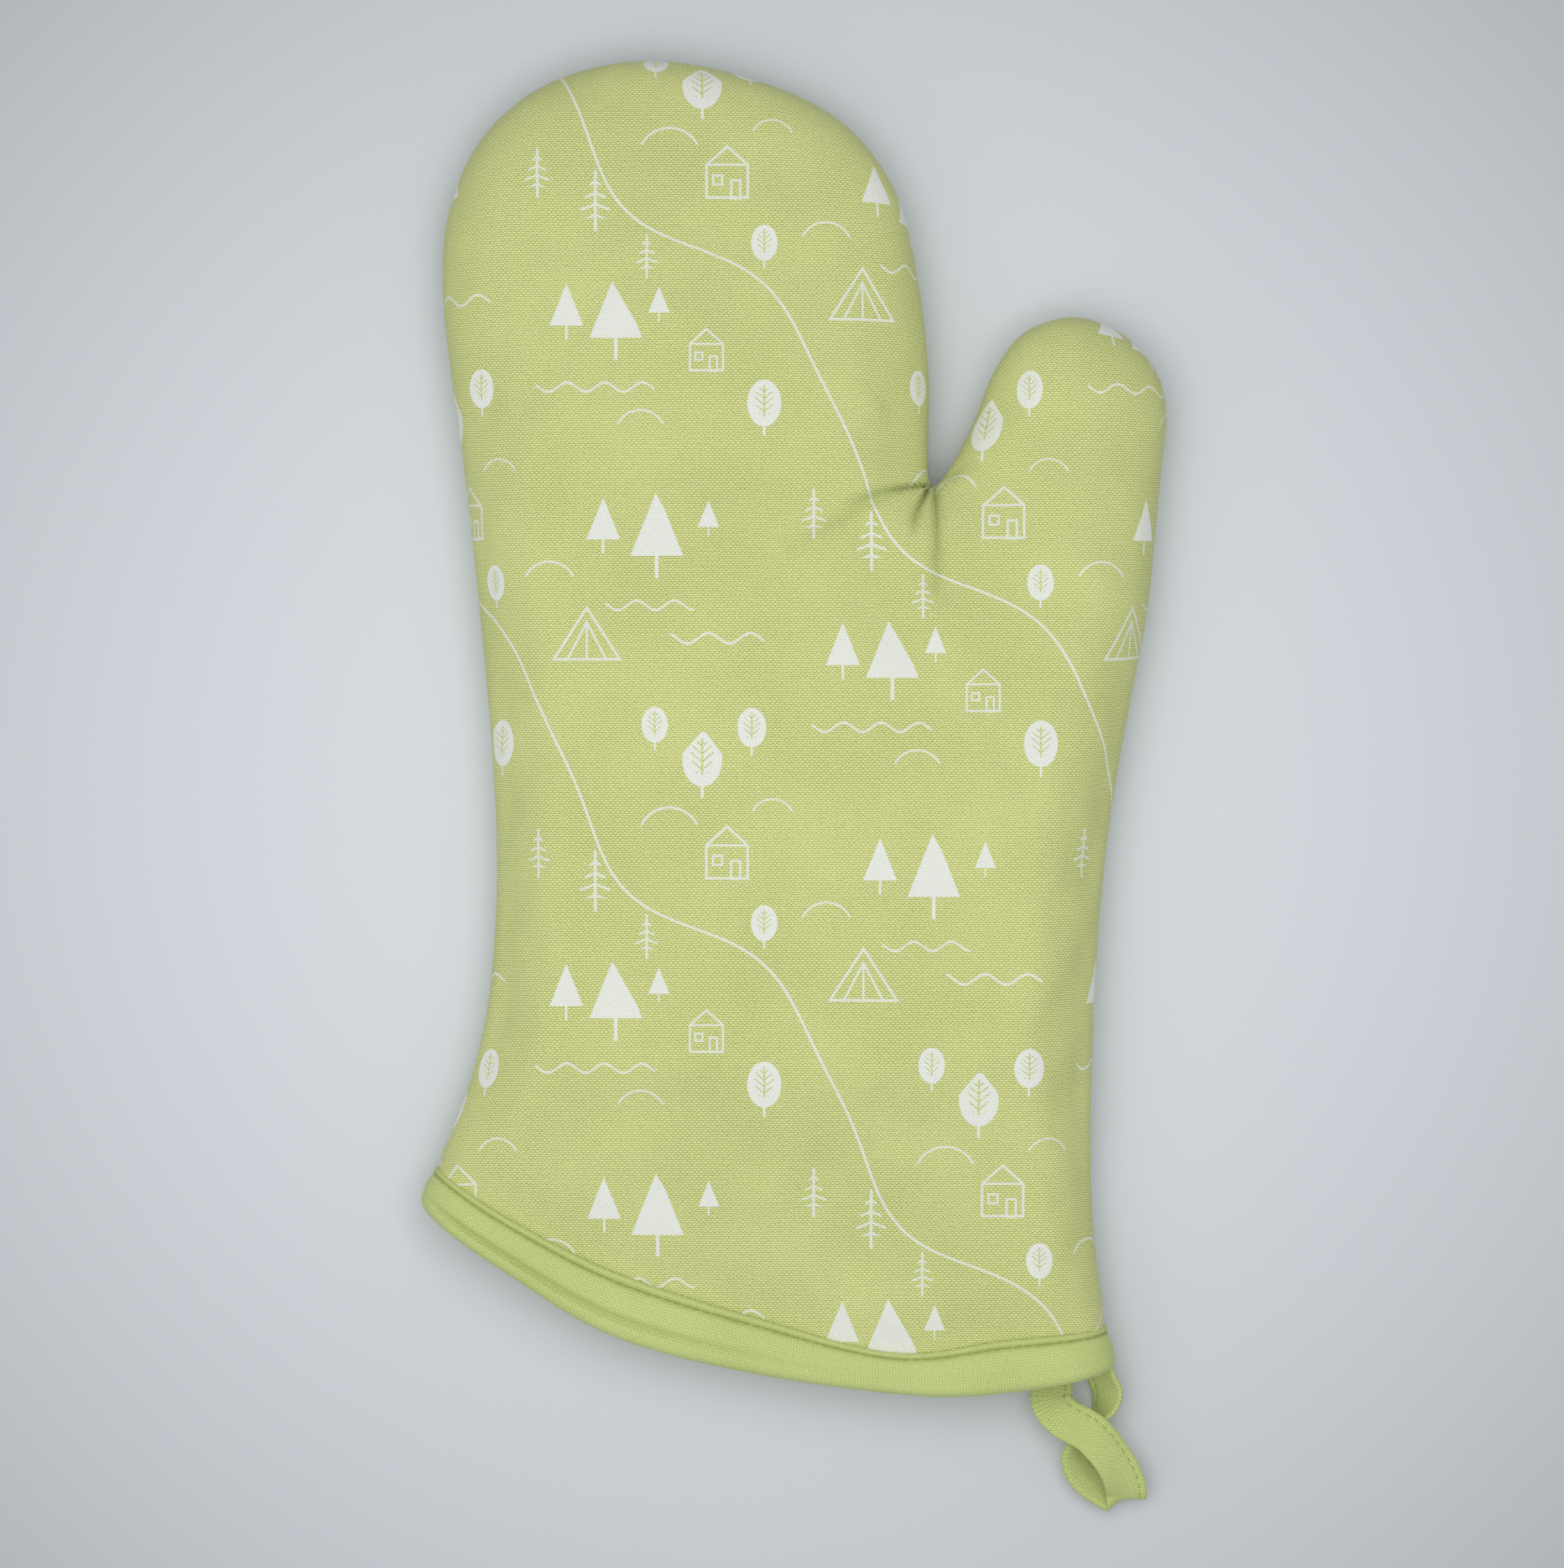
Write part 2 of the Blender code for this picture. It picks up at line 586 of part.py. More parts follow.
def main():
    for obj in list(bpy.data.objects):
        bpy.data.objects.remove(obj, do_unlink=True)

    plan = Plan()
    front = Surface(plan, 1.0)
    back = Surface(plan, -1.0)

    thumb_axis_at = ((THUMB_FOLD_INNER[0] + THUMB_FOLD_OUTER[0]) / 2,
                     (THUMB_FOLD_INNER[1] + THUMB_FOLD_OUTER[1]) / 2, FOLD_HEIGHT)
    pivots = {
        "hand": (None, None),
        "fingers": (KNUCKLE_AXIS_AT, add_pivot("knuckle_fold_axis", KNUCKLE_AXIS_AT)),
        "thumb": (thumb_axis_at, add_pivot("thumb_fold_axis", thumb_axis_at)),
    }
    layers = (("outer", OUTER, SKIN_SPLIT, "printed_cotton"),
              ("wadding", WADDING, WADDING_SPLIT, "wadding"),
              ("lining", LINING, SKIN_SPLIT, "lining_cotton"))
    for layer, depths, split, slot in layers:
        for half, surface in (("front", front), ("back", back)):
            for body, (at, parent) in pivots.items():
                points, faces = panel(surface, body, depths, split)
                add_object(f"{layer}_{half}_{body}", points, faces, slot, at, parent)

    for thread, depth in (("outer", OUTER_THREAD_DEPTH), ("lining", LINING_THREAD_DEPTH)):
        for name, body, stretch in seam_stretches(plan):
            path = [front.place(k, depth, 0.0, 0.0) for k in stretch]
            path = pulled_in(path, THREAD_CLEARANCE)
            points, faces = tube(path, SEAM_THREAD_RADIUS, THREAD_SIDES)
            add_object(f"{thread}_seam_thread_{name}", points, faces, "thread", *pivots[body])

    add_object("cuff_binding", *binding(plan, front, back), "plain_cotton")
    add_object("binding_stitch_thread", *binding_stitch(plan, front, back), "thread")
    root = [(a + b) / 2 for a, b in zip(LOOP_PATH[0][0], LOOP_PATH[-1][0])]
    frames = tape_frames()
    add_object("hanging_loop", *tape(frames), "plain_cotton", root)
    add_object("loop_stitch_thread", *tape_stitch(frames), "thread", root)


main()
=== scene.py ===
"""The looks of the padded oven mitt: printed cotton over wadding, a bound cuff and a sewn loop.

Lengths are in millimetres until a mesh is made. The outline, the cuff's rows and the loop's
path repeat the model's own.
"""

from functools import reduce
from math import cos, exp, hypot, inf, pi, sin, sqrt

import bmesh
import bpy
import numpy as np
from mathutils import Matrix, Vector
from mathutils.geometry import delaunay_2d_cdt


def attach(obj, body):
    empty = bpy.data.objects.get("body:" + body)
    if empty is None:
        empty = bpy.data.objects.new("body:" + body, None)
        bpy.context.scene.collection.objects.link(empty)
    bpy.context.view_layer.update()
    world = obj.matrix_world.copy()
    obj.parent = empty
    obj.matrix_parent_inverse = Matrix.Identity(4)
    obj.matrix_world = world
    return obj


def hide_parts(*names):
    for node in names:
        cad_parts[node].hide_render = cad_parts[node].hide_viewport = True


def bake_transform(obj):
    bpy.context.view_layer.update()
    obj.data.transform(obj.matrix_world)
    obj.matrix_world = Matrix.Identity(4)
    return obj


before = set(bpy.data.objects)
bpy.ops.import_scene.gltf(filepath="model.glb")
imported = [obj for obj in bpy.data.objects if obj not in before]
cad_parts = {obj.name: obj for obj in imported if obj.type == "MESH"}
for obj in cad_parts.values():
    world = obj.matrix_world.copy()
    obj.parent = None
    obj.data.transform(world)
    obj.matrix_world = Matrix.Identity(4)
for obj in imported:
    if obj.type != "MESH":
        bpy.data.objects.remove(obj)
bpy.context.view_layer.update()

MM = 0.001

# ---- the model's own dimensions

FINGER_OUTLINE = [
    (-88.2, -94.6), (-83.0, -82.0), (-78.4, -69.0), (-74.6, -50.0), (-72.9, -20.0),
    (-74.4, 12.0), (-77.2, 43.0), (-80.8, 76.0), (-84.3, 101.5), (-86.3, 122.0),
    (-84.8, 141.0), (-76.4, 159.5), (-60.0, 172.8), (-36.0, 178.3), (-10.0, 173.8),
    (12.0, 163.3), (25.6, 145.5), (31.2, 122.0), (33.4, 101.5), (33.4, 88.0), (33.3, 76.6),
]
CROTCH = (34.4, 73.7)
THUMB_OUTLINE = [
    (36.6, 75.4), (40.4, 81.2), (45.2, 91.1), (49.8, 102.5), (57.0, 111.6), (69.0, 115.3),
    (80.4, 111.5), (88.8, 103.0), (92.0, 92.0), (90.6, 76.0), (88.9, 58.0), (87.0, 40.9),
    (82.6, 18.0), (78.2, -8.0), (75.4, -34.0), (73.9, -62.0), (73.4, -86.0), (74.2, -110.0),
    (77.4, -134.0),
]
HEM = [(-91.6, -102.6), (-71.0, -117.0), (-43.5, -133.0), (-7.0, -142.7), (31.0, -148.0),
       (57.0, -146.5), (79.4, -142.6)]
BINDING_TOP = [(-88.2, -94.6), (-66.0, -108.6), (-42.0, -120.5), (-8.0, -131.2), (25.0, -139.2),
               (52.0, -136.4), (77.4, -134.0)]
# The loop's tape, nudged from its solid: points of its middle line, and its ways across.
TAPE_PATH = [
    ((64.6, -144.2, 8.4), (0.99, 0.1, 0.0)), ((64.2, -148.9, 8.8), (0.99, 0.12, 0.0)),
    ((64.0, -152.6, 9.8), (0.98, 0.18, 0.1)), ((66.9, -156.2, 11.3), (0.88, 0.47, 0.0)),
    ((73.6, -160.0, 12.4), (0.76, 0.63, -0.1)), ((78.6, -165.8, 11.6), (0.86, 0.36, -0.35)),
    ((81.8, -171.8, 9.6), (0.95, 0.2, -0.2)), ((82.8, -176.4, 6.8), (1.0, 0.0, 0.0)),
    ((80.8, -177.0, 3.5), (0.62, 0.5, -0.5)), ((76.4, -174.6, 3.3), (0.62, 0.45, -0.6)),
    ((72.4, -170.8, 4.0), (0.72, 0.25, -0.62)), ((71.0, -166.0, 4.8), (0.66, 0.15, -0.72)),
    ((73.2, -161.0, 5.2), (0.3, 0.05, -0.95)), ((77.2, -155.4, 5.8), (-0.4, 0.0, -0.9)),
    ((78.4, -150.4, 6.9), (-0.66, -0.1, -0.74)), ((76.9, -146.0, 8.0), (-0.6, -0.15, -0.8)),
    ((75.6, -142.4, 8.6), (-0.6, -0.15, -0.8)),
]
# How much the tape is cupped at each of them: the lift a millimetre from its middle.
TAPE_CUP = [0.0, 0.0, 0.006, 0.0, -0.01, 0.0, 0.012, 0.01, 0.01, 0.02, 0.03, 0.03, 0.02,
            0.03, 0.035, 0.03, 0.03]

# The seam's height and the front's rise from it, and both at the cuff. Then the front's low
# dome, and the widths of the rolled edges.
SEAM_HEIGHT, FRONT_RISE = 14.0, 14.0
CUFF_SEAM_HEIGHT, CUFF_FRONT_RISE = 12.0, 12.0
CUFF_TAPER = (-60.0, -125.0)
CROWN, CROWN_RADIUS = 2.0, 70.0
ROUND_FRONT, ROUND_BACK, ROUND_CUFF = 20.0, 16.0, 14.0

# ---- the looks' own dimensions

# Each layer's two faces, as depths under the surface.
OUTER_DEPTH = (0.0, 0.8)
WADDING_DEPTH = (1.1, 5.3)
LINING_DEPTH = (5.6, 6.3)
OUTER_SPLIT, WADDING_SPLIT = 0.06, 0.5  # each half's edge is this far from the seam's middle
SPLIT_REACH = 3.0  # and the gap closes over this width
SEAM_GROOVE, GROOVE_HEIGHT = 0.5, 0.8  # how far the seam is pulled in, and over what height
HEM_INSET = 0.24  # the cloth ends this share of the binding's width above its fold
BACK_PRINT_SHIFT = (31.0, 47.0)

# How far the binding presses the cloth in, in full up to one share of its width and not at all
# past another, how much less at the sides, and how much it thins the wadding.
PRESS, SIDE_RELIEF, CUFF_SQUEEZE = 1.3, 0.7, 1.5
PRESSED = (1.02, 2.5)
UNDER_STITCHES = (0.55, 0.92)
SIDE_REACH = (2.0, 10.0)  # the cuff's round sides end between these distances from the seam

# The mesh: rows of points beside the seam, then a grid, finer round the crotch.
EDGE_ROWS = (0.015, 0.06, 0.3, 0.9, 1.8, 3.0, 4.6, 6.6, 9.0)
GRID_STEP = 2.6
CROTCH_STEP, CROTCH_REACH, CROTCH_RIM_STEP = 1.1, 28.0, 0.1
GRID_X, GRID_Y = (-92.0, 94.0), (-150.0, 180.0)
GRID_CLEAR = 0.6  # the grid keeps this share of its step from the other points
HEM_LENGTH = 180.0  # sets how many points the hem has
HEM_TURN = 12.0  # over this length the rows' ways turn to run along the hem

# The same plan, coarser, for the simulation. Its moves are capped, and a share is kept.
SETTLE_STEP, SETTLE_RIM_STEP, SETTLE_ROWS = 5.0, 1.0, (0.9, 3.6, 8.0)
SETTLE_FRAMES, SETTLE_CAP, SETTLE_SHARE = 16, 6.0, 0.4
SEAM_GRIP = 0.6  # how firmly the seam is held, where the cuff is held at 1

# A row of stitches: thread of so many sides and rings, which dips into the cloth at its ends.
STITCH_SIDES, STITCH_RINGS, STITCH_DIP = 6, 7, 0.3
STITCH_PITCH, STITCH_LENGTH, STITCH_RADIUS = 2.5, 2.0, 0.25


def smoothstep(start, end, value):
    t = np.clip((np.asarray(value, float) - start) / (end - start), 0.0, 1.0)
    return t * t * (3.0 - 2.0 * t)


def spline(points, pieces):
    """A Catmull-Rom curve through the points, with so many pieces to a span."""
    p = np.array(points, float)
    p = np.vstack([2 * p[0] - p[1], p, 2 * p[-1] - p[-2]])
    t = (np.arange(pieces) / pieces)[:, None]
    out = []
    for a, b, c, d in zip(p, p[1:], p[2:], p[3:]):
        out.append(0.5 * (2 * b + (c - a) * t + (2 * a - 5 * b + 4 * c - d) * t ** 2
                          + (3 * b - a - 3 * c + d) * t ** 3))
    return np.vstack(out + [p[-2:-1]])


def along(line):
    """Distance along a line of points, from its start."""
    return np.concatenate([[0.0], np.cumsum(np.linalg.norm(np.diff(line, axis=0), axis=1))])


def spaced(line, step):
    """Points at even distances along a line."""
    run = along(line)
    want = np.linspace(0.0, run[-1], max(2, round(run[-1] / step) + 1))
    return np.stack([np.interp(want, run, line[:, k]) for k in range(line.shape[1])], axis=1)


def lerp(a, b, t):
    return a + (b - a) * t


def unit(ways):
    return ways / np.linalg.norm(ways, axis=1)[:, None]


def tangents(line):
    return unit(np.vstack([line[1:], line[-1:]]) - np.vstack([line[:1], line[:-1]]))


def gaps(p, q):
    """Distances from each plan point to each other one."""
    return np.hypot(*(p[:, None] - q[None]).transpose(2, 0, 1))


HEM_LINE = spline(HEM, 24)
TOP_LINE = spline(BINDING_TOP, 24)


def cuff_point(across, up):
    """A plan point on the binding: `across` from 0 at the left to 1, `up` from 0 at the fold."""
    across = np.atleast_1d(across)
    ends = []
    for line in (HEM_LINE, TOP_LINE):
        run = along(line)
        ends.append(np.stack([np.interp(across * run[-1], run, line[:, k]) for k in (0, 1)], 1))
    return lerp(ends[0], ends[1], np.atleast_1d(up)[:, None])


def seam_line(step, crotch_step):
    """The seam, from the hem's left end round to its right end."""
    left, right = cuff_point(0.0, HEM_INSET), cuff_point(1.0, HEM_INSET)
    fingers = spline([left[0], *FINGER_OUTLINE], 16)
    thumb = spline([*THUMB_OUTLINE, right[0]], 16)
    a, d = fingers[-1], thumb[0]
    pull = 2 * np.array(CROTCH) - (a + d) / 2
    t = np.linspace(0, 1, 33)[:, None]
    crotch = (1 - t) ** 2 * a + 2 * t * (1 - t) * pull + t ** 2 * d
    parts = [spaced(fingers, step), spaced(crotch, crotch_step)[1:], spaced(thumb, step)[1:]]
    return np.vstack(parts)


RIM = np.vstack([HEM_LINE[:1], seam_line(1.5, 0.3), HEM_LINE[-1:]])


def outward(line):
    """The way out of the mitt at each point of its outline."""
    tangent = tangents(line)
    return np.column_stack([-tangent[:, 1], tangent[:, 0]])


RIM_OUT = outward(RIM)


def locate(p):
    """Plan points with how far they are from the seam, and the way straight out to it."""
    p = np.asarray(p, float)
    a, ab = RIM[:-1], np.diff(RIM, axis=0)
    far, out = [], []
    for chunk in np.array_split(p, max(1, len(p) // 1500)):
        ap = chunk[:, None] - a[None]
        t = np.clip((ap * ab).sum(2) / (ab ** 2).sum(1), 0, 1)
        gap = ap - t[..., None] * ab
        d = np.hypot(gap[..., 0], gap[..., 1])
        k = d.argmin(1)
        row = np.arange(len(chunk))
        d, t, gap = d[row, k], t[row, k][:, None], gap[row, k]
        way = -gap / np.maximum(d, 1e-9)[:, None]
        edge = lerp(RIM_OUT[k], RIM_OUT[k + 1], t)
        on_rim = (d < 0.05) | ((way * edge).sum(1) < 0)
        far.append(np.where(on_rim, 0.0, d))
        out.append(np.where(on_rim[:, None], edge, way))
    return p, np.concatenate(far), np.vstack(out)


def above_fold(p):
    """A plan point's height over the binding's fold: 0 there, and 1 at its top edge."""
    low = np.interp(p[:, 0], HEM_LINE[:, 0], HEM_LINE[:, 1])
    high = np.interp(p[:, 0], TOP_LINE[:, 0], TOP_LINE[:, 1])
    return (p[:, 1] - low) / (high - low)


def at_side(d):
    """1 on the cuff's two round sides, and 0 on its flat front and back."""
    return 1.0 - smoothstep(*SIDE_REACH, d)


def at_seam(d):
    """1 at the seam, and 0 where its two halves are no longer parted."""
    return 1.0 - smoothstep(0.0, SPLIT_REACH, d)


def pinch(over, side):
    """How far the binding presses the cloth in, most of all under its row of stitches."""
    held = (PRESS + smoothstep(*UNDER_STITCHES, over)) * (1.0 - SIDE_RELIEF * side)
    return held * (1.0 - smoothstep(PRESSED[0], PRESSED[1] - side, over))


def half_depth(p, up):
    """Height of the seam, how far this half rises from it, and the width of its round edge."""
    cuff = smoothstep(*CUFF_TAPER, p[:, 1])
    seam = lerp(SEAM_HEIGHT, CUFF_SEAM_HEIGHT, cuff)
    if up > 0:
        rise = lerp(FRONT_RISE, CUFF_FRONT_RISE, cuff)
        rise = rise + CROWN * np.exp(-(p ** 2).sum(1) / (2 * CROWN_RADIUS ** 2))
        return seam, rise, lerp(ROUND_FRONT, ROUND_CUFF, cuff)
    return seam, seam, lerp(ROUND_BACK, ROUND_CUFF, cuff)


def surface(spots, up):
    """Points of the mitt's surface over located plan points, and the ways out of it."""
    p, d, out = spots
    seam, rise, width = half_depth(p, up)
    s = 1.0 - np.minimum(d, width) / width
    full = np.sqrt(np.maximum(1.0 - s * s, 0.0))
    slope = rise * s / (width * np.maximum(full, 1e-4))
    points = np.column_stack([p, seam + up * rise * full])
    normals = np.column_stack([out * slope[:, None], np.full(len(p), float(up))])
    return points, unit(normals)


def at_depth(spots, up, depth, split=0.0):
    """Points at a depth under the surface, pressed in near the cuff, and parted at the seam."""
    points, normals = surface(spots, up)
    over = above_fold(spots[0])
    thin = np.clip((depth - WADDING_DEPTH[0]) / (WADDING_DEPTH[1] - WADDING_DEPTH[0]), 0, 1)
    squeeze = CUFF_SQUEEZE * thin * (1.0 - smoothstep(*PRESSED, over))
    press = pinch(over, at_side(spots[1])) - squeeze
    points = points - normals * (depth + press)[:, None]
    points[:, 2] += up * split * at_seam(spots[1])
    return points


# ---- the cloth's mesh

class Plan:
    """Triangles over the mitt's plan: strips along the seam, and a grid between them."""

    def __init__(self, step, crotch_step, crotch_rim_step, edge_rows):
        self.step, self.crotch_step, self.edge_rows = step, crotch_step, edge_rows
        rim = seam_line(step, crotch_rim_step)
        way = outward(rim)
        hems = [cuff_point(a, HEM_INSET) - cuff_point(b, HEM_INSET)
                for a, b in ((0.0, 0.05), (1.0, 0.95))]
        run = along(rim)
        for hem_way, far in zip(hems, (run, run[-1] - run)):
            near = (1.0 - smoothstep(0.0, HEM_TURN, far))[:, None]
            way = lerp(way, hem_way / np.linalg.norm(hem_way), near)
        way = unit(way)
        self.columns = n = len(rim)
        near_crotch = np.hypot(*(rim - CROTCH).T) < 4.0
        self.cut_column = int(np.where(near_crotch, way[:, 1], -1.0).argmax())
        rows = (0.0, *edge_rows)
        strips = np.vstack([rim - way * d for d in rows])
        self.faces = []
        for j in range(len(rows) - 1):
            for i in range(n - 1):
                a, b = j * n + i, j * n + i + 1
                self.faces += [(a, a + n, b + n), (a, b + n, b)]
        self.points = strips
        self.fill(strips[-n:])
        _, far, out = locate(self.points[len(strips):])
        self.spots = (self.points, np.concatenate([np.repeat(rows, n), far]),
                      np.vstack([np.tile(way, (len(rows), 1)), out]))
        self.faces = np.array(self.faces)
        self.thumb_side = self.right_of_cut()

    def fill(self, inner):
        """The middle of the mitt, inside the strips and above the hem."""
        n, first = self.columns, len(self.points)
        hem = cuff_point(np.linspace(1, 0, round(HEM_LENGTH / self.step)), HEM_INSET)
        clear = self.edge_rows[-1] + 0.5 * self.step
        hem = hem[[min(hypot(*(q - hem[0])), hypot(*(q - hem[-1]))) > clear for q in hem]]
        ring = [first - n + i for i in range(n)] + [first + k for k in range(len(hem))]
        count = len(ring)
        outline = np.vstack([inner, hem])
        edges = [(k, (k + 1) % count) for k in range(count)]
        top = inner[self.cut_column]
        foot = int(np.abs(hem[:, 0] - top[0]).argmin())
        self.cut = (top, hem[foot])
        steps = round((top[1] - hem[foot][1]) / self.step)
        line = lerp(top, hem[foot], np.linspace(0, 1, steps)[1:-1, None])
        chain = [self.cut_column, *range(count, count + len(line)), n + foot]
        edges += list(zip(chain, chain[1:]))
        taken = np.vstack([outline, line])
        points = np.vstack([taken, self.grid(taken, outline)])
        verts, _, faces, source, _, _ = delaunay_2d_cdt(
            [Vector(q) for q in points], edges, [], 1, 1e-6)
        number, extra = {}, []
        for k, came_from in enumerate(source):
            kept = [c for c in came_from if c < count]
            number[k] = ring[kept[0]] if kept else first + len(hem) + len(extra)
            if not kept:
                extra.append(tuple(verts[k]))
        self.points = np.vstack([self.points, hem, np.array(extra)])
        for f in faces:
            a, b, c = (number[k] for k in f)
            (ax, ay), (bx, by), (cx, cy) = self.points[[a, b, c]]
            left_turn = (bx - ax) * (cy - ay) - (by - ay) * (cx - ax) > 0
            self.faces.append((a, b, c) if left_turn else (a, c, b))

    def grid(self, taken, outline):
        """A hexagonal grid of points, finer near the crotch, and clear of those already there."""
        keep = []
        for step, near, far in ((self.crotch_step, 0.0, CROTCH_REACH),
                                (self.step, CROTCH_REACH, inf)):
            rows = np.arange(*GRID_Y, step * sqrt(0.75))
            found = np.array([(x + (j % 2) * step / 2, y) for j, y in enumerate(rows)
                              for x in np.arange(*GRID_X, step)])
            reach = np.hypot(*(found - CROTCH).T)
            found = found[(reach >= near) & (reach < far)]
            found = found[inside(found, outline)]
            for chunk in np.array_split(found, 40):
                keep.append(chunk[gaps(chunk, taken).min(1) > GRID_CLEAR * step])
        return np.vstack(keep)

    def right_of_cut(self):
        """True for the triangles right of the cut that runs from the crotch to the hem."""
        centre = self.points[self.faces].mean(axis=1)
        (x0, y0), (x1, y1) = self.cut
        right = centre[:, 0] > x0 + (x1 - x0) * (centre[:, 1] - y0) / (y1 - y0)
        order = np.arange(len(self.faces))
        per_row = 2 * (self.columns - 1)
        column = (order % per_row) // 2
        return np.where(order < per_row * len(self.edge_rows), column >= self.cut_column, right)


def inside(p, ring):
    """True for the points inside a closed ring."""
    hit = np.zeros(len(p), bool)
    for a, b in zip(ring, np.roll(ring, -1, axis=0)):
        if a[1] == b[1]:
            continue
        crosses = (a[1] > p[:, 1]) != (b[1] > p[:, 1])
        x = a[0] + (p[:, 1] - a[1]) * (b[0] - a[0]) / (b[1] - a[1])
        hit ^= crosses & (p[:, 0] < x)
    return hit


# Creases of the cloth that is drawn together at the crotch. Each has its line, its depth, its
# width at its start, how much wider it gets to each millimetre, how soon it is deep, and how
# much shade is painted into it.
CREASES = [
    ([(34.0, 73.9), (25.7, 72.3), (18.9, 70.3), (12.0, 67.0)], 2.4, 0.32, 0.07, 1.5, 0.85),
    ([(27.0, 71.5), (18.0, 68.0), (8.0, 62.5), (-3.0, 56.0)], 2.2, 1.6, 0.14, 9.0, 0.3),
    ([(34.0, 73.7), (31.5, 69.5), (30.0, 66.1), (29.0, 60.0)], 3.0, 0.34, 0.06, 1.5, 1.0),
    ([(34.7, 73.5), (34.9, 66.0), (34.8, 56.0), (34.4, 43.0)], 2.5, 0.5, 0.13, 1.5, 0.7),
    ([(37.2, 75.0), (40.5, 76.6), (45.0, 78.0)], 1.4, 0.35, 0.2, 1.2, 0.4),
]
SHADE_WIDE, SHADE_SPREAD = 0.35, 0.055  # the same two widths, for the line of painted shade in each


def beside_crease(p, knots):
    """How far along a crease plan points are, the share of it past them, and the gap to it."""
    middle = spline(knots, 16)
    run = along(middle)
    gap = gaps(p, middle)
    k = gap.argmin(1)
    return run[k], 1.0 - run[k] / run[-1], gap[np.arange(len(p)), k]


def crease_depth(p):
    """How far the creases sink the cloth at plan points."""
    deepest = np.zeros(len(p))
    for knots, depth, narrow, spread, ramp, _ in CREASES:
        far, left, gap = beside_crease(p, knots)
        sunk = depth * left ** 0.8 * smoothstep(-0.4 * ramp, ramp, far)
        sunk = sunk * np.exp(-(gap / (narrow + spread * far)) ** 1.2)
        deepest = np.maximum(deepest, sunk)
    return deepest


def crease_shade(p):
    """How dark the creases are at plan points: the light does not reach into them."""
    darkest = np.zeros(len(p))
    for knots, *_, strength in CREASES:
        far, left, gap = beside_crease(p, knots)
        shade = strength * left ** 0.6
        shade = shade * np.exp(-(gap / (SHADE_WIDE + SHADE_SPREAD * far)) ** 1.4)
        darkest = np.maximum(darkest, shade)
    return darkest


def undulation(p):
    """Slow waves of a soft cloth, a few tenths of a millimetre high."""
    x, y = p[:, 0], p[:, 1]
    total = np.zeros(len(p))
    for height, length, turn, phase in ((0.35, 61.0, 0.9, 0.3), (0.28, 43.0, -0.5, 1.7),
                                        (0.2, 29.0, 0.15, 4.0), (0.12, 19.0, 1.2, 2.2)):
        total += height * np.sin(2 * pi * (x * cos(turn) + y * sin(turn)) / length + phase)
    return total


def settled(coarse):
    """How far out the wadding presses each half's cloth, as one cloth held at cuff and seam."""
    n = len(coarse.points)
    front, front_ways = surface(coarse.spots, 1)
    back, back_ways = surface(coarse.spots, -1)
    rim = np.arange(coarse.columns)
    twin = np.arange(n) + n
    twin[rim] = rim
    start = np.vstack([front, back])
    faces = [*map(tuple, coarse.faces.tolist())]
    faces += [tuple(twin[list(f[::-1])].tolist()) for f in coarse.faces]
    obj = make_mesh("settling", start, faces)
    held = obj.vertex_groups.new(name="held")
    over = above_fold(coarse.points)
    grip = np.clip(2.0 - over, 0.0, 1.0)
    grip[rim] = np.maximum(grip[rim], SEAM_GRIP)
    for k in range(n):
        held.add([k, k + n], float(grip[k]), "REPLACE")
    cloth = obj.modifiers.new("cloth", "CLOTH")
    set_up = cloth.settings
    set_up.quality, set_up.mass, set_up.air_damping = 6, 0.15, 5.0
    set_up.tension_stiffness = set_up.compression_stiffness = 18.0
    set_up.shear_stiffness, set_up.bending_stiffness = 8.0, 0.4
    set_up.use_pressure, set_up.uniform_pressure_force = True, 4.0
    set_up.effector_weights.gravity = 0.0
    set_up.vertex_group_mass = "held"
    set_up.shrink_min = -0.035
    cloth.collision_settings.use_collision = False
    scene = bpy.context.scene
    for frame_number in range(1, SETTLE_FRAMES + 1):
        scene.frame_set(frame_number)
    done = obj.evaluated_get(bpy.context.evaluated_depsgraph_get()).to_mesh()
    moved = np.array([v.co for v in done.vertices]) / MM - start
    scene.frame_set(1)
    bpy.data.objects.remove(obj)
    halves = {}
    for up, part, ways in ((1, moved[:n], front_ways), (-1, moved[n:], back_ways)):
        rise = np.clip((part * ways).sum(1), -SETTLE_CAP, SETTLE_CAP)
        rise[rim] = 0.0
        halves[up] = rise
    return halves


def carried(coarse, values, fine):
    """Values at the coarse plan's points, carried over to the fine plan's points."""
    found = np.zeros(len(fine.points))
    for rows in np.array_split(np.arange(len(found)), 12):
        gap = gaps(fine.points[rows], coarse.points)
        weight = np.exp(-(gap / (0.6 * coarse.step)) ** 2) + 1e-12
        found[rows] = (weight * values).sum(1) / weight.sum(1)
    return found


def shaded(obj, values):
    """Keeps how little light reaches each vertex, for the cloth's material."""
    shade = obj.data.attributes.new("painted_cavity_shade", "FLOAT", "POINT")
    shade.data.foreach_set("value", np.ascontiguousarray(values, dtype=np.float32))


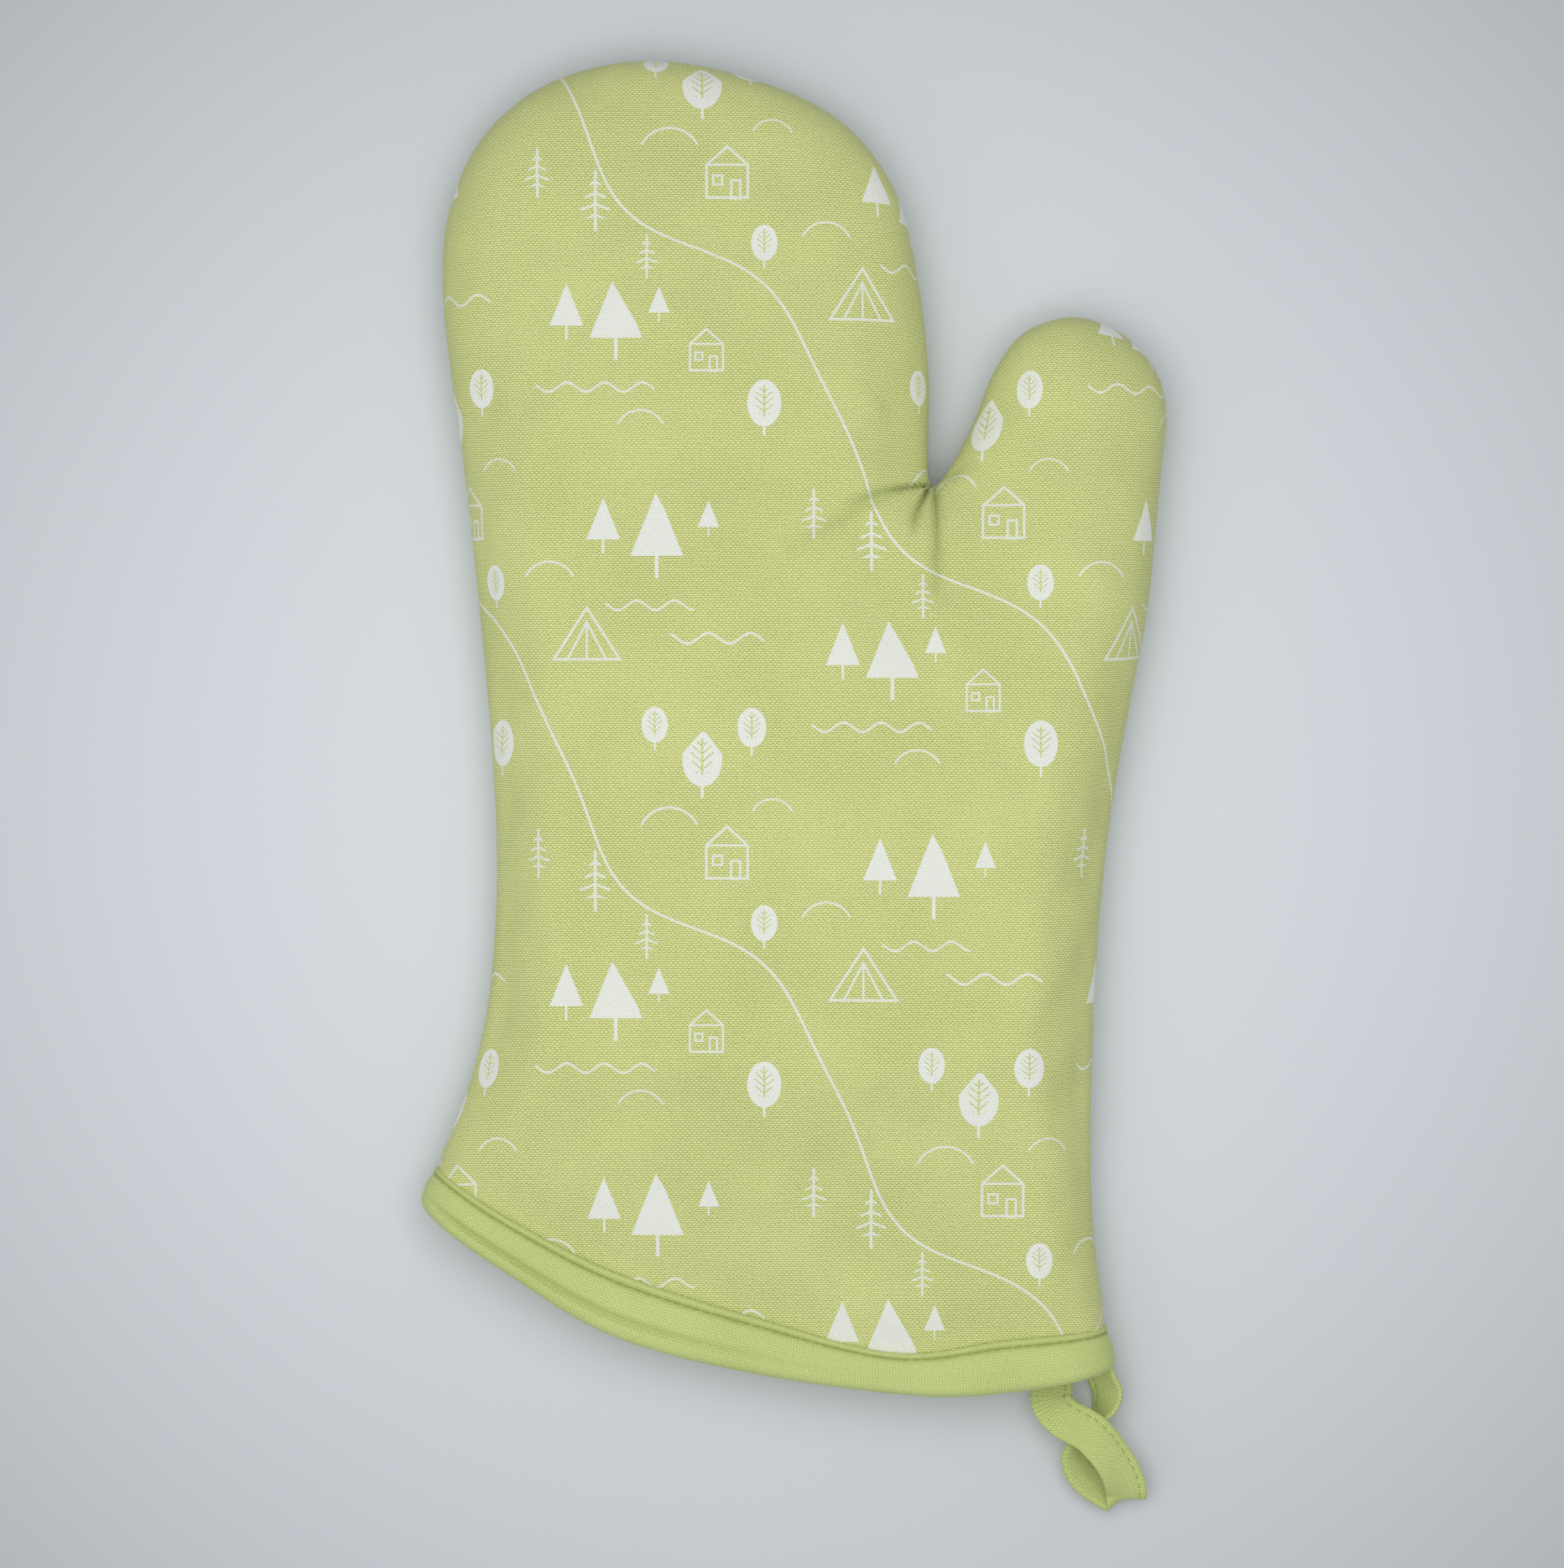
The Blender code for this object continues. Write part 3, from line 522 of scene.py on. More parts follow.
def flat_pattern(spots, up):
    """Where each plan point lies on the cloth before it is sewn, in millimetres."""
    p, d, out = spots
    _, rise, width = half_depth(p, up)
    steps = np.linspace(0.0, 1.0, 129) ** 2
    full = np.sqrt(np.maximum(1.0 - (1.0 - steps) ** 2, 0.0))
    extra = np.zeros(len(p))
    sizes = np.round(width, 1)
    for w in np.unique(sizes):
        pick = sizes == w
        run = along(np.column_stack([steps * w, rise[pick].mean() * full]))
        inner = np.minimum(d[pick], w)
        extra[pick] = (run[-1] - np.interp(inner / w, steps, run)) - (w - inner)
    flat = p + out * extra[:, None]
    return flat if up > 0 else BACK_PRINT_SHIFT + flat * (-1.0, 1.0)


# ---- meshes

def vertex_normals(points, faces):
    """Area-weighted normals at the points."""
    a, b, c = (points[faces[:, k]] for k in range(3))
    cross = np.cross(b - a, c - a)
    total = np.zeros_like(points)
    for k in range(3):
        np.add.at(total, faces[:, k], cross)
    return total / np.maximum(np.linalg.norm(total, axis=1), 1e-12)[:, None]


def add(name, data):
    """A new object in the scene."""
    obj = bpy.data.objects.new(name, data)
    bpy.context.scene.collection.objects.link(obj)
    return obj


def make_mesh(name, points, faces, uv=None, normals=None):
    """A smooth-shaded object from points in millimetres."""
    mesh = bpy.data.meshes.new(name)
    mesh.from_pydata((np.asarray(points) * MM).tolist(), [], [tuple(map(int, f)) for f in faces])
    mesh.polygons.foreach_set("use_smooth", [True] * len(mesh.polygons))
    if uv is not None:
        layer = mesh.uv_layers.new(name="cloth")
        corners = np.zeros(len(mesh.loops), int)
        mesh.loops.foreach_get("vertex_index", corners)
        layer.data.foreach_set("uv", np.asarray(uv, float)[corners].ravel())
    if normals is not None:
        mesh.normals_split_custom_set_from_vertices(np.asarray(normals).tolist())
    return add(name, mesh)


def make_shell(name, faces, face_out, face_in, normals, up, uv):
    """A closed sheet between two faces that share one set of triangles."""
    if up < 0:
        faces = faces[:, ::-1]
    used, index = np.unique(faces, return_inverse=True)
    f = index.reshape(-1, 3)
    n = len(used)
    edges = {(a, b) for t in f for a, b in zip(t, np.roll(t, -1))}
    walls = []
    for a, b in sorted(edges):
        if (b, a) not in edges:
            walls += [(b, a, a + n), (b, a + n, b + n)]
    every = [*f, *(f[:, ::-1] + n), *walls]
    points = np.vstack([face_out[used], face_in[used]])
    both = np.vstack([normals[used], -normals[used]])
    return make_mesh(name, points, every, np.vstack([uv[used]] * 2), both)


def tube_faces(count, sides, closed=False):
    """The faces of a tube of rings, with flat ends unless it is closed on itself."""
    faces = []
    for i in range(count if closed else count - 1):
        j = (i + 1) % count
        for k in range(sides):
            m = (k + 1) % sides
            faces.append((i * sides + k, j * sides + k, j * sides + m, i * sides + m))
    if not closed:
        faces += [tuple(range(sides)), tuple(reversed(range((count - 1) * sides, count * sides)))]
    return faces


def sweep(name, rings, uv=None, closed=False):
    """A tube through rings of points."""
    rings = np.asarray(rings)
    return make_mesh(name, rings.reshape(-1, 3), tube_faces(*rings.shape[:2], closed), uv)


def round_rings(path, side, third, radius, sides):
    """Circles round a path's points."""
    turn = np.arange(sides) * 2 * pi / sides
    return path[:, None] + radius * (side[:, None] * np.cos(turn)[None, :, None]
                                     + third[:, None] * np.sin(turn)[None, :, None])


def frames_along(path, reference):
    """The two ways square to a path at each point: near the reference, and the third way."""
    tangent = tangents(path)
    side = unit(reference - tangent * (reference * tangent).sum(1)[:, None])
    return side, np.cross(tangent, side)


def thread(name, path, radius, sides):
    """A long thread."""
    up = np.tile([0.0, 0.0, 1.0], (len(path), 1))
    side, third = frames_along(path, up)
    return sweep(name, round_rings(path, side, -third, radius, sides))


def stitches(name, path, normals, radius):
    """A row of separate stitches that dip into the cloth at both ends."""
    run = along(path)
    count = int(run[-1] / STITCH_PITCH)
    t = np.linspace(-1, 1, STITCH_RINGS)
    one = tube_faces(STITCH_RINGS, STITCH_SIDES)
    bits, faces = [], []
    for k in range(count):
        at = (k + 0.5) * run[-1] / count + t * STITCH_LENGTH / 2
        p, n = (np.stack([np.interp(at, run, line[:, c]) for c in range(3)], 1)
                for line in (path, normals))
        n = unit(n)
        tangent = p[-1] - p[0]
        side = np.cross(tangent / np.linalg.norm(tangent), n)
        p = p - n * (STITCH_DIP * (np.abs(t) ** 3))[:, None]
        size = radius * np.sqrt(np.maximum(1.0 - 0.75 * t ** 4, 0.0))
        bits.append(round_rings(p, side, n, size[:, None, None], STITCH_SIDES).reshape(-1, 3))
        faces += [tuple(k * STITCH_RINGS * STITCH_SIDES + v for v in f) for f in one]
    return make_mesh(name, np.vstack(bits), faces)


def rounded(path, thick):
    """A closed ring round a two-dimensional line, at half the thickness, with round ends."""
    path = np.asarray(path, float)
    way = tangents(path)
    left = np.column_stack([-way[:, 1], way[:, 0]])
    half = thick / 2
    end, start = path[-1] + way[-1] * half * 0.8, path[0] - way[0] * half * 0.8
    return np.vstack([path + left * half, end, (path - left * half)[::-1], start])


# ---- node maths

def sum_of(kind, swapped=False):
    """A method of Value that does one sum with it."""
    return lambda self, *other: maths(kind, *(self, *other)[::-1 if swapped else 1])


class Value:
    """A number or vector in a node tree; sums with it add nodes."""

    def __init__(self, socket):
        self.socket = socket
        self.tree = socket.id_data

    __add__, __sub__ = sum_of("ADD"), sum_of("SUBTRACT")
    __rsub__ = sum_of("SUBTRACT", swapped=True)
    __mul__, __abs__ = sum_of("MULTIPLY"), sum_of("ABSOLUTE")

    def __truediv__(self, other):
        return self * (1.0 / other)

    def __neg__(self):
        return self * -1.0


def wire(node, inputs):
    """Sets a node's inputs, by name or place, to numbers, or links them to Values."""
    for key, value in inputs.items():
        if isinstance(value, Value):
            node.id_data.links.new(value.socket, node.inputs[key])
        else:
            node.inputs[key].default_value = value


def operation(node_type, kind, values):
    """A node that does one sum with the values, each a number, a vector or a Value."""
    tree = next(v.tree for v in values if isinstance(v, Value))
    node = tree.nodes.new(node_type)
    node.operation = kind
    wire(node, dict(enumerate(values)))
    return node


def maths(kind, *values):
    return Value(operation("ShaderNodeMath", kind, values).outputs[0])


def vector(kind, *values):
    node = operation("ShaderNodeVectorMath", kind, values)
    return Value(node.outputs["Value" if kind == "DOT_PRODUCT" else "Vector"])


def clamped(value):
    """The same sum, kept between 0 and 1."""
    value.socket.node.use_clamp = True
    return value


def parts(value):
    """A vector's x, y and z."""
    node = value.tree.nodes.new("ShaderNodeSeparateXYZ")
    wire(node, {0: value})
    return [Value(out) for out in node.outputs]


def flat_vector(x, y):
    node = x.tree.nodes.new("ShaderNodeCombineXYZ")
    wire(node, {0: x, 1: y})
    return Value(node.outputs[0])


def least(*values):
    return reduce(lambda a, b: maths("MINIMUM", a, b), values)


def most(*values):
    return reduce(lambda a, b: maths("MAXIMUM", a, b), values)


def cover(depth):
    """1 where a depth in millimetres is positive and 0 where it is negative, with a soft edge."""
    return clamped(maths("MULTIPLY_ADD", depth, 1.0 / INK_BLUR, 0.5))


def line(depth, width):
    """A line of that width along where a depth is 0."""
    return width / 2 - abs(depth)


def noise(where, scale, detail, rough=0.5):
    node = where.tree.nodes.new("ShaderNodeTexNoise")
    wire(node, {"Vector": where, "Scale": scale, "Detail": detail, "Roughness": rough})
    return Value(node.outputs["Fac"])


def mixed(factor, a, b, kind="RGBA"):
    """A colour or a vector between two, each given as three numbers or a Value."""
    node = factor.tree.nodes.new("ShaderNodeMix")
    node.data_type = kind
    wire(node, {"Factor": factor})
    for name, value in (("A", a), ("B", b)):
        place = next(k for k, i in enumerate(node.inputs) if i.name == name and i.type == kind)
        wire(node, {place: value if isinstance(value, Value) else (*value, 1.0)})
    return Value(next(o for o in node.outputs if o.type == kind))


def srgb(r, g, b):
    """A linear colour from sRGB numbers out of 255, none of them near 0."""
    return tuple(((c / 255 + 0.055) / 1.055) ** 2.4 for c in (r, g, b))


# ---- the print

# A repeat of drawn trees, houses, a tent, arcs and waves. Each column of repeats is half a repeat
# lower than the one to its left. A drawing has x, y and a size, and its own shape about its foot.
REPEAT_WIDE, REPEAT_HIGH = 67.0, 165.0
BIG_TREES = [(34.0, 138.0, 1.0), (21.0, 142.0, 0.64), (46.5, 145.0, 0.4), (24.0, 26.0, 1.0),
             (12.0, 29.0, 0.64), (34.5, 32.0, 0.4)]
LEAF_TREES = [(45.0, 84.0, 1.0), (33.5, 94.0, 0.66), (57.0, 93.0, 0.72), (60.0, 46.0, 0.66),
              (60.0, 6.0, 0.85)]
PINES = [(5.0, 60.0, 0.9), (19.0, 52.0, 1.1), (31.5, 40.5, 0.8)]
HOUSES = [(51.0, 60.0, 1.0), (46.0, 18.0, 0.8)]
TENTS = [(17.0, 113.0, 1.0)]
ARCS = [(37.0, 74.0, 1.0), (62.0, 77.0, 0.7), (8.0, 134.0, 0.85), (30.0, 6.0, 0.8)]
WAVES = [(44.0, 118.0, 1.0), (36.0, 126.0, 0.9), (19.0, 14.0, 0.9)]

# A path winds down across the repeats: its height at the left, and its two bends, each with how
# far it swings, where it starts and how often it comes.
PATH_START = 102.0
PATH_BENDS = ((7.0, 8.0, 1), (1.6, 11.0, 2))
PATH_SLOPE = 0.92  # narrows the line to its true width where it runs aslant
INK_BLUR = 0.14
LINE_SPREAD = 0.07  # how far the ink of a fine line spreads into the cloth on each side


def nearest(where, spots):
    """A point's x and y about the nearest of the spots, as at size 1, and that spot's size."""
    best = closest = None
    for x, y, size in spots:
        away = vector("SUBTRACT", where, (x, y, -0.01 * size))
        gap = vector("DOT_PRODUCT", away, away)
        if best is None:
            best, closest = away, gap
            continue
        best = mixed(maths("LESS_THAN", gap, closest), best, away, "VECTOR")
        closest = least(gap, closest)
    x, y, size = parts(best)
    size = size * 100.0
    return maths("DIVIDE", x, size), maths("DIVIDE", y, size), size


# Each shape gives how deep a point lies inside its ink, in millimetres, and below 0 outside it.
# It is drawn at size 1 about its foot, and `side` is how far the point is from its middle.

def tree_shape(x, y, side):
    body = least(y, (6.4 - side - y * 0.4) * 0.93)
    trunk = least(0.42 - side, 0.2 - y, y + 5.4)
    return most(body, trunk)


def leaf_shape(x, y, side):
    low = y - 6.0
    body = 4.75 - low * 0.14 - maths("SQRT", side * side + low * low * 0.56)
    rib = line(maths("PINGPONG", y - side * 0.85 + 0.6, 1.9) - 0.95, 0.46)
    veins = least(rib, 2.9 - side - abs(low) * 0.3, y - 1.4, 9.0 - y)
    stem = least(0.24 - side, y - 0.4, 9.8 - y)
    trunk = least(0.33 - side, y + 4.6, 1.0 - y)
    return most(least(body, -most(stem, veins)), trunk)


def pine_shape(x, y, side):
    trunk = least(0.27 - side, y, 13.0 - y)
    fall = y + side * 0.55 - side * side * 0.05
    rung = line(maths("PINGPONG", fall, 2.4) - 1.2, 0.46)
    return most(trunk, least(rung, (13.6 - y) * 0.36 - side, y - 2.9))


def box(x, y, left, low, right, high):
    return least(x - left, right - x, y - low, high - y)


def house_shape(x, y, side):
    walls = least(5.0 - side, y, (12.5 - y - side * 0.9) * 0.74)
    eaves = least(line(y - 8.0, 0.40), 5.0 - side)
    door, window = box(x, y, 1.0, -0.2, 3.2, 4.2), box(x, y, -3.4, 3.2, -1.2, 5.4)
    return most(line(walls, 0.46), eaves, line(door, 0.40), line(window, 0.40))


def tent_shape(x, y, side):
    walls = least(y, (12.5 - y - side * 1.55) * 0.54)
    flap = least(line((9.0 - y - side * 1.9) * 0.47, 0.38), y)
    pole = least(line(x, 0.36), y, 9.0 - y)
    return most(line(walls, 0.46), flap, pole)


def arc_shape(x, y, side):
    far = maths("SQRT", side * side + (y + 4.5) * (y + 4.5))
    return least(line(far - 7.6, 0.42), y + 1.0)


def wave_shape(x, y, side):
    wave = maths("SINE", x * 0.62) * 1.25 - y
    return least(line(wave * 0.85, 0.42), 16.0 - side)


def drawn(where, drawings):
    """How deep a point lies inside the ink of these kinds of drawing."""
    depths = []
    for spots, shape in drawings:
        x, y, size = nearest(where, spots)
        depths.append(shape(x, y, abs(x)) * size)
    return most(*depths)


def path_shape(u, v):
    length = hypot(REPEAT_WIDE, REPEAT_HIGH / 2)
    across, down = REPEAT_WIDE / length, REPEAT_HIGH / 2 / length
    spacing = REPEAT_WIDE * REPEAT_HIGH / length
    run = u * across - v * down
    over = u * down + v * across - PATH_START * REPEAT_WIDE / length
    which = maths("ROUND", over / spacing)
    over = over - which * spacing
    run = run + which * (REPEAT_HIGH * REPEAT_HIGH / 2 / length)
    big, small = (maths("SINE", (run + start) * (times * 2 * pi / length)) * swing
                  for swing, start, times in PATH_BENDS)
    return line((over - (big + small)) * PATH_SLOPE, 0.46)


def print_masks(uv):
    """How much white ink and how much fine line there is at a point of the cloth."""
    u, v, _ = parts(uv)
    column = maths("FLOOR", u / REPEAT_WIDE)
    x = u - column * REPEAT_WIDE
    y = maths("WRAP", v + column * (REPEAT_HIGH / 2), REPEAT_HIGH, 0.0)
    where = flat_vector(x, y)
    solid = drawn(where, ((BIG_TREES, tree_shape), (LEAF_TREES, leaf_shape)))
    fine = drawn(where, ((PINES, pine_shape), (HOUSES, house_shape), (TENTS, tent_shape),
                         (ARCS, arc_shape), (WAVES, wave_shape)))
    return cover(solid), cover(most(fine, path_shape(u, v)) + LINE_SPREAD)


# ---- materials

WEAVE_PITCH, BIAS_PITCH, LINING_PITCH = 0.56, 0.5, 0.45
WEAVE_SQUARES, WEAVE_ROWS = 0.5, 0.46  # how much of each shows in the weave
WEAVE_BUMP, WEAVE_HEIGHT = 0.5, 0.12
PRINT_GREEN = srgb(229, 231, 158)
PRINT_SHADE = srgb(162, 171, 100)
INK = srgb(236, 237, 232)
BIAS_GREEN = srgb(217, 226, 150)
BIAS_SHADE = srgb(168, 181, 102)
# the colour that the painted shade in creases and along the binding's stitches darkens the cloth
# towards
DEEP_SHADE = srgb(112, 128, 52)
LINING = srgb(232, 228, 212)
LINING_SHADE = srgb(216, 210, 190)
WADDING, WADDING_SHADE = srgb(240, 238, 230), srgb(214, 210, 198)
THREAD = srgb(168, 184, 98)
THREAD_SHADE = tuple(c * 0.7 for c in THREAD)


def new_material(name, roughness, sheen):
    material = bpy.data.materials.new(name)
    material.use_nodes = True
    tree = material.node_tree
    shader = tree.nodes["Principled BSDF"]
    wire(shader, {"Roughness": roughness, "Specular IOR Level": 0.25, "Sheen Weight": sheen,
                  "Sheen Roughness": 0.5})
    return material, tree, shader


def uv_mm(tree):
    node = tree.nodes.new("ShaderNodeUVMap")
    node.uv_map = "cloth"
    return Value(node.outputs[0])


def object_place(tree):
    return Value(tree.nodes.new("ShaderNodeTexCoord").outputs["Object"])


def woven(u, v, pitch, wander):
    """A plain weave: -1 where threads along the cloth are on top, 1 on the ones across it."""
    column, row = u + wander * 0.4, v + wander * 0.25
    squares = maths("SINE", column * (pi / pitch)) * maths("SINE", row * (pi / pitch))
    rows = maths("COSINE", row * (2 * pi / pitch))
    return squares * WEAVE_SQUARES - rows * WEAVE_ROWS


def covered(shader, colour, height, strength, distance):
    """Gives a shader its colour, and bumps of a height from 0 to 1, so many millimetres high."""
    bump = shader.id_data.nodes.new("ShaderNodeBump")
    wire(bump, {"Strength": strength, "Distance": distance * MM, "Height": height})
    wire(shader, {"Base Color": colour, "Normal": Value(bump.outputs[0])})


def cloth_material(name, light, shade, pitch, bias=False, printed=False):
    material, tree, shader = new_material(name, 0.85, 0.12)
    uv = uv_mm(tree)
    u, v, _ = parts(uv)
    if bias:
        u, v = (u + v) * sqrt(0.5), (v - u) * sqrt(0.5)
    slub = noise(uv, 1.3, 2.0)
    weave = woven(u, v, pitch, slub)
    slow = noise(uv, 0.03, 3.0)
    fleck = noise(uv, 2.6, 2.0, 0.7)
    tone = clamped(weave + (slow - 0.5) * 0.5 + (fleck - 0.5) * 2.0 + 0.57)
    colour = mixed(tone, shade, light)
    if printed:
        solid, fine = print_masks(uv)
        broken = weave * 0.34 + (fleck - 0.5) * 0.9 + 0.84
        ink = clamped(most(solid * (broken + 0.06), fine * broken * 0.92))
        colour = mixed(ink, colour, INK)
    # Painted shade: a vertex attribute darkens the colour towards DEEP_SHADE in the creases, the
    # binding's valley and along its stitches
    node = tree.nodes.new("ShaderNodeAttribute")
    node.attribute_name = "painted_cavity_shade"
    colour = mixed(Value(node.outputs["Fac"]), colour, DEEP_SHADE)
    height = abs(weave) * 0.8 + weave * 0.2 + (fleck - 0.5) * 0.8
    covered(shader, colour, height, WEAVE_BUMP, WEAVE_HEIGHT)
    return material


def fibrous_material(name, surface_look, light, shade, place, grain, bumps):
    """Fibres too fine to model: a noise over the place gives them their tone and bumps."""
    material, tree, shader = new_material(name, *surface_look)
    fibre = noise(place(tree), *grain)
    covered(shader, mixed(fibre, shade, light), fibre, *bumps)
    return material


printed_cotton = cloth_material("printed cotton", PRINT_GREEN, PRINT_SHADE, WEAVE_PITCH,
                                printed=True)
plain_cotton = cloth_material("bias cotton", BIAS_GREEN, BIAS_SHADE, BIAS_PITCH, bias=True)
lining_cotton = cloth_material("lining cotton", LINING, LINING_SHADE, LINING_PITCH)
wadding_fibre = fibrous_material("wadding", (0.95, 0.3), WADDING, WADDING_SHADE, uv_mm,
                                 (0.9, 6.0, 0.75), (0.7, 0.5))
thread_green = fibrous_material("sewing thread", (0.6, 0.1), THREAD, THREAD_SHADE, object_place,
                                (2600.0, 2.0), (0.5, 0.1))


def finished(obj, material, bodies, nodes):
    """Gives a piece its material, attaches it to a lone body, and hides the solids it stands for.
    """
    obj.data.materials.append(material)
    if len(bodies) == 1:
        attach(obj, bodies[0])
    else:
        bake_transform(obj)
    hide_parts(*nodes)
    return obj


# The two bodies at each bend, and the points between which it bends, in metres.
FINGER_BEND = ("hand", "fingers", (0.0, 0.075, 0.0), (0.0, 0.128, 0.0))
THUMB_BEND = ("hand", "thumb", (0.0523, 0.0545, 0.0), (0.0799, 0.0775, 0.0))
LOOP_BEND = ("hand", "loop", (0.0716, -0.1460, 0.0), (0.0716, -0.1560, 0.0))

# ---- the mitt's layers

CALM_EDGE, CALM_CUFF = (0.0, 3.0), (1.6, 4.0)  # where the slow waves fade towards both
BACK_CREASES, BACK_WAVES = 0.6, 0.3  # shares of the front's
FLOOR_CLEAR = 0.05

plan = Plan(GRID_STEP, CROTCH_STEP, CROTCH_RIM_STEP, EDGE_ROWS)
from_seam = plan.spots[1]
calm = smoothstep(*CALM_EDGE, from_seam) * smoothstep(*CALM_CUFF, above_fold(plan.points))
settling = {1: 0.0, -1: 0.0}
loose = Plan(SETTLE_STEP, SETTLE_STEP, SETTLE_RIM_STEP, SETTLE_ROWS)
for up, rise in settled(loose).items():
    settling[up] = (carried(loose, rise, plan) - np.median(rise)) * calm
creased = crease_depth(plan.points) * smoothstep(0.0, 0.5, from_seam)
waves = undulation(plan.points) * calm

for half, up, crease_share, wave_share in (("front", 1, 1.0, 1.0),
                                           ("back", -1, BACK_CREASES, BACK_WAVES)):
    skin = at_depth(plan.spots, up, OUTER_DEPTH[0], OUTER_SPLIT)
    _, ways = surface(plan.spots, up)
    height = np.abs(skin[:, 2] - half_depth(plan.points, up)[0])
    groove = SEAM_GROOVE * np.exp(-(height / GROOVE_HEIGHT) ** 2)
    sink = creased * crease_share - waves * wave_share + groove
    sink = sink - SETTLE_SHARE * settling[up]
    skin = skin - ways * sink[:, None]
    if up < 0:
        skin[:, 2] = np.maximum(skin[:, 2], FLOOR_CLEAR)
    order = plan.faces if up > 0 else plan.faces[:, ::-1]
    normals = vertex_normals(skin, order)
    uv = flat_pattern(plan.spots, up)
    cloth_in = skin - normals * OUTER_DEPTH[1]
    pad_out = skin - normals * WADDING_DEPTH[0]
    pad_out[:, 2] += up * (WADDING_SPLIT - OUTER_SPLIT) * at_seam(from_seam)
    pad_in = at_depth(plan.spots, up, WADDING_DEPTH[1], WADDING_SPLIT)
    line_out, line_in = (at_depth(plan.spots, up, depth, OUTER_SPLIT) for depth in LINING_DEPTH)
    for side, pick, bend, bodies in (("hand", ~plan.thumb_side, FINGER_BEND, ("hand", "fingers")),
                                     ("thumb", plan.thumb_side, THUMB_BEND, ("thumb",))):
        faces = plan.faces[pick]
        for layer, face_out, face_in, material, slot in (
                ("outer", skin, cloth_in, printed_cotton, "printed_cotton"),
                ("wadding", pad_out, pad_in, wadding_fibre, "wadding"),
                ("lining", line_out, line_in, lining_cotton, "lining_cotton")):
            obj = make_shell(f"{layer}_{half}_{side}_side", faces, face_out, face_in,
                             normals, up, uv)
            finished(obj, material, bend, [f"{layer}_{half}_{b}" for b in bodies])
            # The outer cloth gets shade painted into its creases, less of it on the back.
            if layer == "outer":
                spots = np.array([v.co for v in obj.data.vertices]) / MM
                shaded(obj, crease_shade(spots[:, :2]) * crease_share)

# ---- the seams' threads

SEAM_THREAD_DEPTH = {"outer": 2.0, "lining": 4.6}
SEAM_THREAD_STEP, SEAM_THREAD_RADIUS, SEAM_THREAD_SIDES = 0.8, 0.25, 5
SEAM_THREAD_WAVE = 0.15  # each stitch rises and falls by this

rim = [a[:plan.columns] for a in plan.spots]
cut = plan.cut_column
for layer, depth in SEAM_THREAD_DEPTH.items():
    path = at_depth(rim, 1, depth)
    for side, stretch, bend, names in (
            ("hand", path[2:cut], FINGER_BEND, ("little_finger_side", "fingertips", "crotch")),
            ("thumb", path[cut + 1:-2], THUMB_BEND, ("thumb", "thumb_side"))):
        middle = spaced(stretch, SEAM_THREAD_STEP)
        middle[:, 2] += SEAM_THREAD_WAVE * np.sin(along(middle) * 2 * pi / STITCH_PITCH)
        obj = thread(f"{layer}_seam_stitches_{side}_side", middle, SEAM_THREAD_RADIUS,
                     SEAM_THREAD_SIDES)
        finished(obj, thread_green, bend, [f"{layer}_seam_thread_{n}" for n in names])

# ---- the cuff's binding

BINDING_WIDE, BINDING_THICK = 11.3, 0.9
CUFF_LENGTH = 175.0  # of the front half
# The folded strip in section: how far up the cloth from the fold, and out from its surface.
BINDING_SECTION = [
    (1.02, -2.0), (1.045, -1.45), (1.03, -0.95), (0.985, -0.9), (0.93, -1.65), (0.88, -1.25),
    (0.80, -0.6), (0.68, -0.1), (0.52, 0.15), (0.42, 0.17), (0.36, 0.15), (0.31, 0.1),
    (0.27, 0.06), (0.23, 0.04), (0.19, 0.03), (0.15, 0.0),
]
BINDING_ROLL = 3.75  # radius of the rolled fold, whose outermost line is FOLD_REACH past it
FOLD_REACH = 1.2
INSIDE_LEG = [(0.3, -7.55), (0.5, -7.75), (0.75, -8.2), (0.95, -8.7), (1.0, -8.75)]
STITCH_AT, STITCH_OUT = 0.925, -0.88  # the row of stitches, in the same two measures
OUTSIDE = -4.0  # the section's points further out than this are on its outside
SIDE_PROUD = 0.7  # how much further out the strip sits at the cuff's round sides
# A valley along the strip where the cloth under it ends, and the shade painted into it and
# along the row of stitches.
VALLEY_AT, VALLEY_WIDE, VALLEY_DEPTH, VALLEY_BACK = 0.26, 0.075, 0.95, 0.4
VALLEY_SHADE_WIDE, VALLEY_SHADE = 0.10, 0.26
STITCH_SHADE_WIDE, STITCH_SHADE = 0.035, 0.52


def cuff_surface(across, up, t, n):
    """Points at t of the way up the binding from its fold, and n millimetres out of the cloth."""
    hem, top = cuff_point(across, 0.0), cuff_point(across, 1.0)
    q = cuff_point(across, np.maximum(t, 0.0))
    spots = locate(q)
    points, normals = surface(spots, up)
    points[:, :2] += (hem - top) * np.maximum(-t, 0.0)[:, None]
    proud = SIDE_PROUD * at_side(spots[1]) * smoothstep(0.7, 0.95, t)
    return points + normals * (n + proud)[:, None], normals


def cuff_stations():
    """Shares of the way across the cuff, closer together on its round sides."""
    near = np.array([0.0, 0.3, 0.9, 1.8, 3.0, 4.6, 6.6, 9.0, 11.5]) / CUFF_LENGTH
    return np.concatenate([near, np.linspace(0.08, 0.92, 70), 1.0 - near[::-1]])


def round_cuff(t, n):
    """The ring of points round the cuff's mouth for one line of the binding's section."""
    across = cuff_stations()
    front, front_ways = cuff_surface(across, 1, t[:len(across)], n[:len(across)])
    back, back_ways = cuff_surface(across[-2:0:-1], -1, t[len(across):], n[len(across):])
    return np.vstack([front, back]), np.vstack([front_ways, back_ways])


